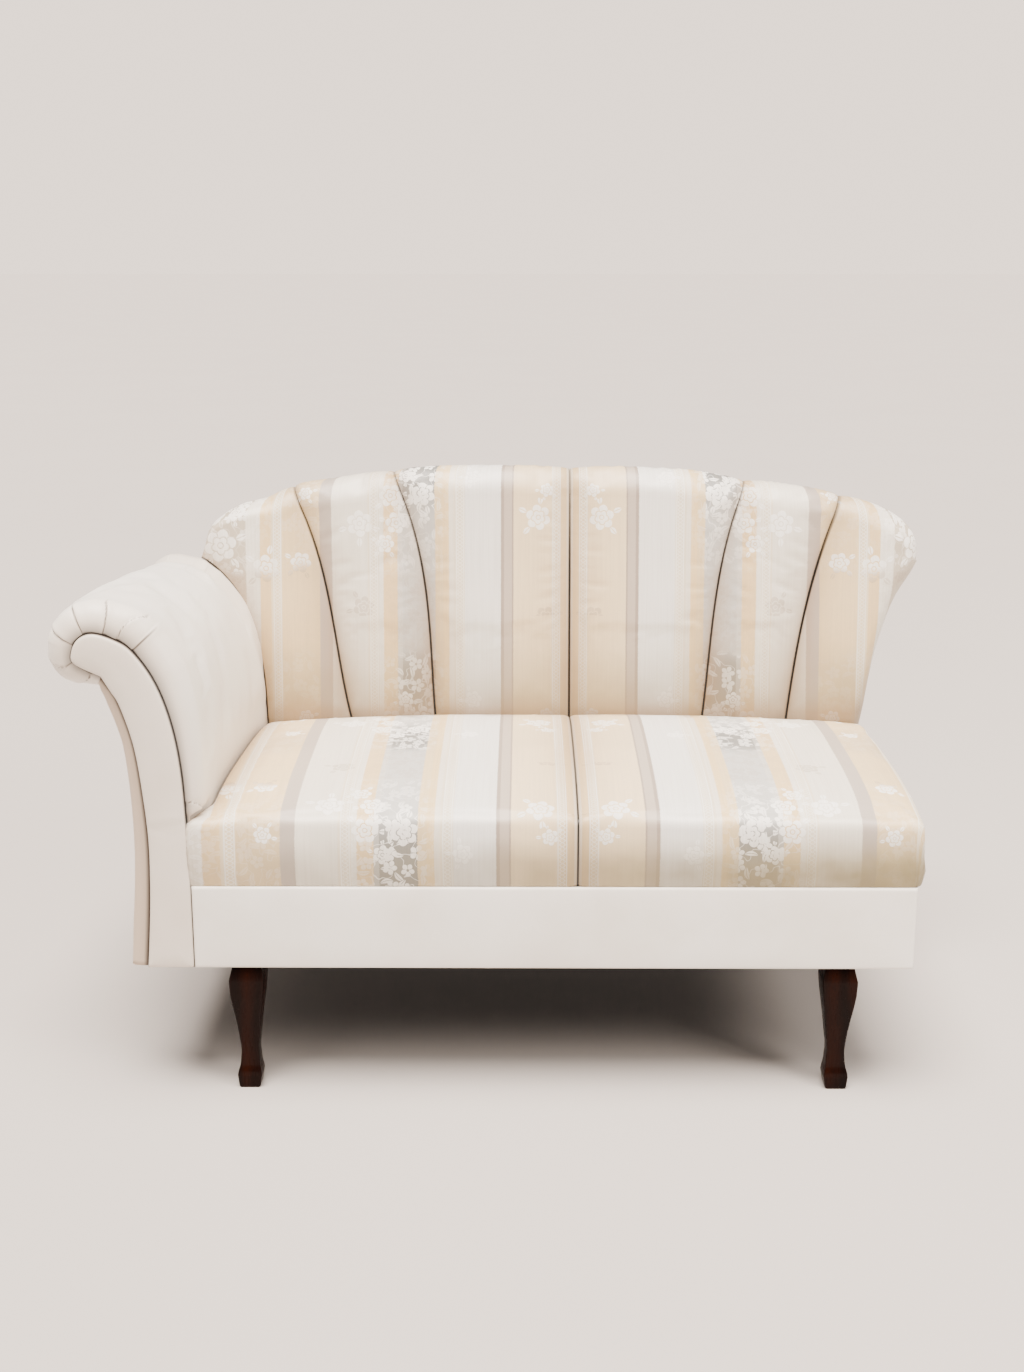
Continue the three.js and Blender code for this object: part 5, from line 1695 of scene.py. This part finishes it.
# Repeats along a line: a small shape set at even steps and turned along it
def repeatTree():
    tree = bpy.data.node_groups.new("repeatAlong", "GeometryNodeTree")
    sockets = [("Path", "NodeSocketGeometry"), ("Shape", "NodeSocketObject"), ("Spacing", "NodeSocketFloat"),
               ("Unevenness", "NodeSocketFloat"), ("Seed", "NodeSocketInt"), ("Finish", "NodeSocketMaterial")]
    for name, kind in sockets:
        tree.interface.new_socket(name=name, in_out="INPUT", socket_type=kind)
    tree.interface.new_socket(name="Geometry", in_out="OUTPUT", socket_type="NodeSocketGeometry")
    source = tree.nodes.new("NodeGroupInput").outputs
    line = put(tree, "GeometryNodeMeshToCurve", {0: source["Path"]}).outputs[0]
    even = put(tree, "GeometryNodeResampleCurve", {"Curve": line, "Length": source["Spacing"]}, mode="LENGTH")
    shape = put(tree, "GeometryNodeObjectInfo", {"Object": source["Shape"]}).outputs["Geometry"]
    along = put(tree, "GeometryNodeInputTangent").outputs[0]
    turned = put(tree, "FunctionNodeAlignRotationToVector", {"Vector": along}, axis="X")
    jitter = put(tree, "FunctionNodeRandomValue", {"Seed": source["Seed"]}, data_type="FLOAT")
    swing = (Field(tree, jitter.outputs[1]) - 0.5) * source["Unevenness"]
    twist = put(tree, "ShaderNodeCombineXYZ", {"Z": swing})
    spun = put(tree, "FunctionNodeRotateRotation", {0: turned.outputs[0], 1: twist.outputs[0]},
               rotation_space="LOCAL")
    copies = put(tree, "GeometryNodeInstanceOnPoints",
                 {"Points": even.outputs[0], "Instance": shape, "Rotation": spun.outputs[0]})
    solid = put(tree, "GeometryNodeRealizeInstances", {0: copies.outputs[0]})
    finish = {"Geometry": solid.outputs[0], "Material": source["Finish"]}
    dressed = put(tree, "GeometryNodeSetMaterial", finish).outputs[0]
    put(tree, "NodeGroupOutput", {0: dressed})
    return tree


def repeatAlong(name, paths, shape, look, finish):
    mesh = bpy.data.meshes.new(name + "Path")
    points, edges = [], []
    for path in paths:
        edges += [(len(points) + n, len(points) + n + 1) for n in range(len(path) - 1)]
        points += [place(*spot) for spot in path]
    mesh.from_pydata(points, edges, [])
    obj = linked(name, mesh)
    modifier = obj.modifiers.new("repeat", "NODES")
    modifier.node_group = repeats
    values = {**look, "Shape": shape, "Finish": finish}
    for item in repeats.interface.items_tree:
        if item.in_out == "INPUT" and item.name in values:
            modifier[item.identifier] = values[item.name]
    bpy.context.view_layer.update()
    graph = bpy.context.evaluated_depsgraph_get()
    solid = bpy.data.meshes.new_from_object(obj.evaluated_get(graph))
    bpy.data.objects.remove(obj)
    bpy.data.objects.remove(shape)
    solid.name = name
    if not solid.materials:
        solid.materials.append(finish)
    return linked(name, solid)


repeats = repeatTree()
staples = {
    "Spacing": 0.028,
    "Unevenness": 0.35,
    "Seed": 7,
    "crown": 10,
    "wire": 0.9,
    "inset": 9,
    "proud": 0.4,
}
stitches = {
    "Spacing": 0.0042,
    "Unevenness": 0.1,
    "Seed": 3,
    "length": 3.1,
    "thread": 0.45,
    "sink": 1.2,
    "seatSink": 0.2,
    "start": 0.22,  # share of a back seam's height where its stitches start
    "ends": (24, 20),  # left bare at the front and the rear of the seat's seam
}
threadFinish = makeRough("seamThread", rgb(84, 70, 56), rgb(54, 43, 33), 3000, 0.00005, 0.6)


def stapleShape():  # a crown with two short legs, flat wire
    crown, wire = staples["crown"] / 2000, staples["wire"] / 2000
    points, faces = [], []
    for low, high in (((-crown, -wire, 0), (crown, wire, wire)),
                      ((-crown, -wire, wire), (-crown + 2 * wire, wire, 4 * wire)),
                      ((crown - 2 * wire, -wire, wire), (crown, wire, 4 * wire))):
        first = len(points)
        points += [(x, y, z) for z in (low[2], high[2]) for y in (low[1], high[1]) for x in (low[0], high[0])]
        faces += [[first + i for i in face] for face in
                  ((0, 2, 3, 1), (4, 5, 7, 6), (0, 1, 5, 4), (2, 6, 7, 3), (0, 4, 6, 2), (1, 3, 7, 5))]
    mesh = bpy.data.meshes.new("staple")
    mesh.from_pydata(points, [], faces)
    return linked("staple", mesh)


def stitchShape():  # one turn of thread, thick in the middle
    half, thread = stitches["length"] / 2000, stitches["thread"] / 1000
    points, faces = [(-half, 0, 0)], []
    rings, sides = 3, 6
    for n in range(1, rings + 1):
        share = n / (rings + 1)
        for s in range(sides):
            turn = 2 * math.pi * s / sides
            size = thread * math.sin(math.pi * share) ** 0.5
            points.append((lerp(-half, half, share), size * math.cos(turn), size * math.sin(turn)))
    points.append((half, 0, 0))
    last = len(points) - 1
    for s in range(sides):
        t = (s + 1) % sides
        faces.append((0, 1 + t, 1 + s))
        for n in range(rings - 1):
            a = 1 + n * sides
            faces.append((a + s, a + t, a + sides + t, a + sides + s))
        a = 1 + (rings - 1) * sides
        faces.append((last, a + s, a + t))
    mesh = bpy.data.meshes.new("stitch")
    mesh.from_pydata(points, [], faces)
    return linked("stitch", mesh)


def coverStaples():
    low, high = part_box("dust_cover")
    inset = staples["inset"]
    left, right = low.x * 1000 - seamX + inset, high.x * 1000 - seamX - inset
    near, far = low.y * 1000 - frontY + inset, high.y * 1000 - frontY - inset
    z = low.z * 1000 - staples["proud"]
    path = [(left, near, z), (right, near, z), (right, far, z), (left, far, z), (left, near, z)]
    return repeatAlong("coverStaples", [path], stapleShape(), staples, hidden["steel"])


def seamStitches():
    paths = []
    for seam in seamShares:
        at, depth = seamWall(seam, 0)["at"], back["groove"] - stitches["sink"]
        rises = steps(40, stitches["start"], 1)
        paths.append([(at(v).x, frontPlane(at(v).y) + depth, at(v).y) for v in rises])
    near, far = stitches["ends"][0], seatDepth - stitches["ends"][1]
    drop = seat["seamDepth"] + stitches["seatSink"]
    paths.append([(0, y, seatTop(seat["seamShare"], y / far) - drop) for y in steps(40, near, far)])
    return repeatAlong("seamStitches", paths, stitchShape(), stitches, threadFinish)


upholstery = [armCover(), armFacing(), armOutsidePanel(), seatCushion(), *borders()]
upholstery += [armRearPanel(), outsideBack(), *backChannels()]
woodwork = legs()
under = dustCover()
small = [coverStaples(), seamStitches()]
print("pieces made")

for piece in [*upholstery, *woodwork, under, *small]:
    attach(piece, "root")
    kind = "mahogany" if piece in woodwork else "damask" if piece.name.startswith("backChannel") else "hide"

# Floor, light and camera
stage = {
    "floor": rgb(184, 177, 173),
    "wearAndShade": rgb(180, 173, 169),
    "reach": 60,
    "backdrop": rgb(255, 235, 219),
    "backdropStrength": 2.2,
    "sky": rgb(255, 247, 240),
    "skyStrength": 0.3,
    "lamp": rgb(255, 244, 232)[:3],
    "aim": 0.4,
}


def makeFloor():
    mat, tree, shader = startMaterial("paleFloor")
    point = objectPoint(tree)
    colour = blendColour(tree, cloudy(tree, point, 1.2, 2), stage["floor"], stage["wearAndShade"])
    connect(tree, colour, shader.inputs["Base Color"])
    shader.inputs["Roughness"].default_value = 1
    shader.inputs["Specular IOR Level"].default_value = 0
    mesh = bpy.data.meshes.new("floor")
    reach = stage["reach"]
    mesh.from_pydata([(-reach, -reach, 0), (reach, -reach, 0), (reach, reach, 0), (-reach, reach, 0)], [],
                     [(0, 1, 2, 3)])
    floor = addObject("floor", mesh, mat)


lamps = [
    {"name": "ceiling", "kind": "SUN", "at": (-0.12, -0.36, 2.2), "power": 13.5, "spread": 40},
    {"name": "frontLeft", "kind": "AREA", "at": (-2.4, -3.0, 3.2), "power": 25, "spread": 1.6},
    {"name": "frontRight", "kind": "AREA", "at": (2.8, -2.35, 2.8), "power": 170, "spread": 1.6},
]


def makeLights():
    for lamp in lamps:
        light = bpy.data.lights.new(lamp["name"], lamp["kind"])
        light.energy = lamp["power"]
        light.color = stage["lamp"]
        if lamp["kind"] == "SUN":
            light.angle = math.radians(lamp["spread"])
        else:
            light.size = lamp["spread"]
        obj = linked(lamp["name"], light)
        obj.location = lamp["at"]
        aim = Vector((0, 0, stage["aim"])) - obj.location
        obj.rotation_euler = aim.to_track_quat("-Z", "Y").to_euler()
    world = bpy.data.worlds.new("studio")
    world.use_nodes = True
    tree = world.node_tree
    tree.nodes.clear()
    seen = put(tree, "ShaderNodeLightPath").outputs["Is Camera Ray"]
    sky = put(tree, "ShaderNodeBackground", {"Color": stage["sky"], "Strength": stage["skyStrength"]})
    backdrop = {"Color": stage["backdrop"], "Strength": stage["backdropStrength"]}
    backdrop = put(tree, "ShaderNodeBackground", backdrop)
    mixed = put(tree, "ShaderNodeMixShader", {0: seen, 1: sky.outputs[0], 2: backdrop.outputs[0]})
    put(tree, "ShaderNodeOutputWorld", {"Surface": mixed.outputs[0]})
    bpy.context.scene.world = world


camera = {"at": (-83.8, -2486.8, 1297.5), "pitch": -14.48, "yaw": 0.37, "lens": 45.75}


def makeCamera():
    data = bpy.data.cameras.new("photoCamera")
    data.sensor_width = 36
    data.lens = camera["lens"]
    obj = linked("photoCamera", data)
    obj.location = place(*camera["at"])
    obj.rotation_euler = (math.radians(90 + camera["pitch"]), 0, math.radians(camera["yaw"]))
    bpy.context.scene.camera = obj


makeFloor()
makeLights()
makeCamera()
print("stage set")
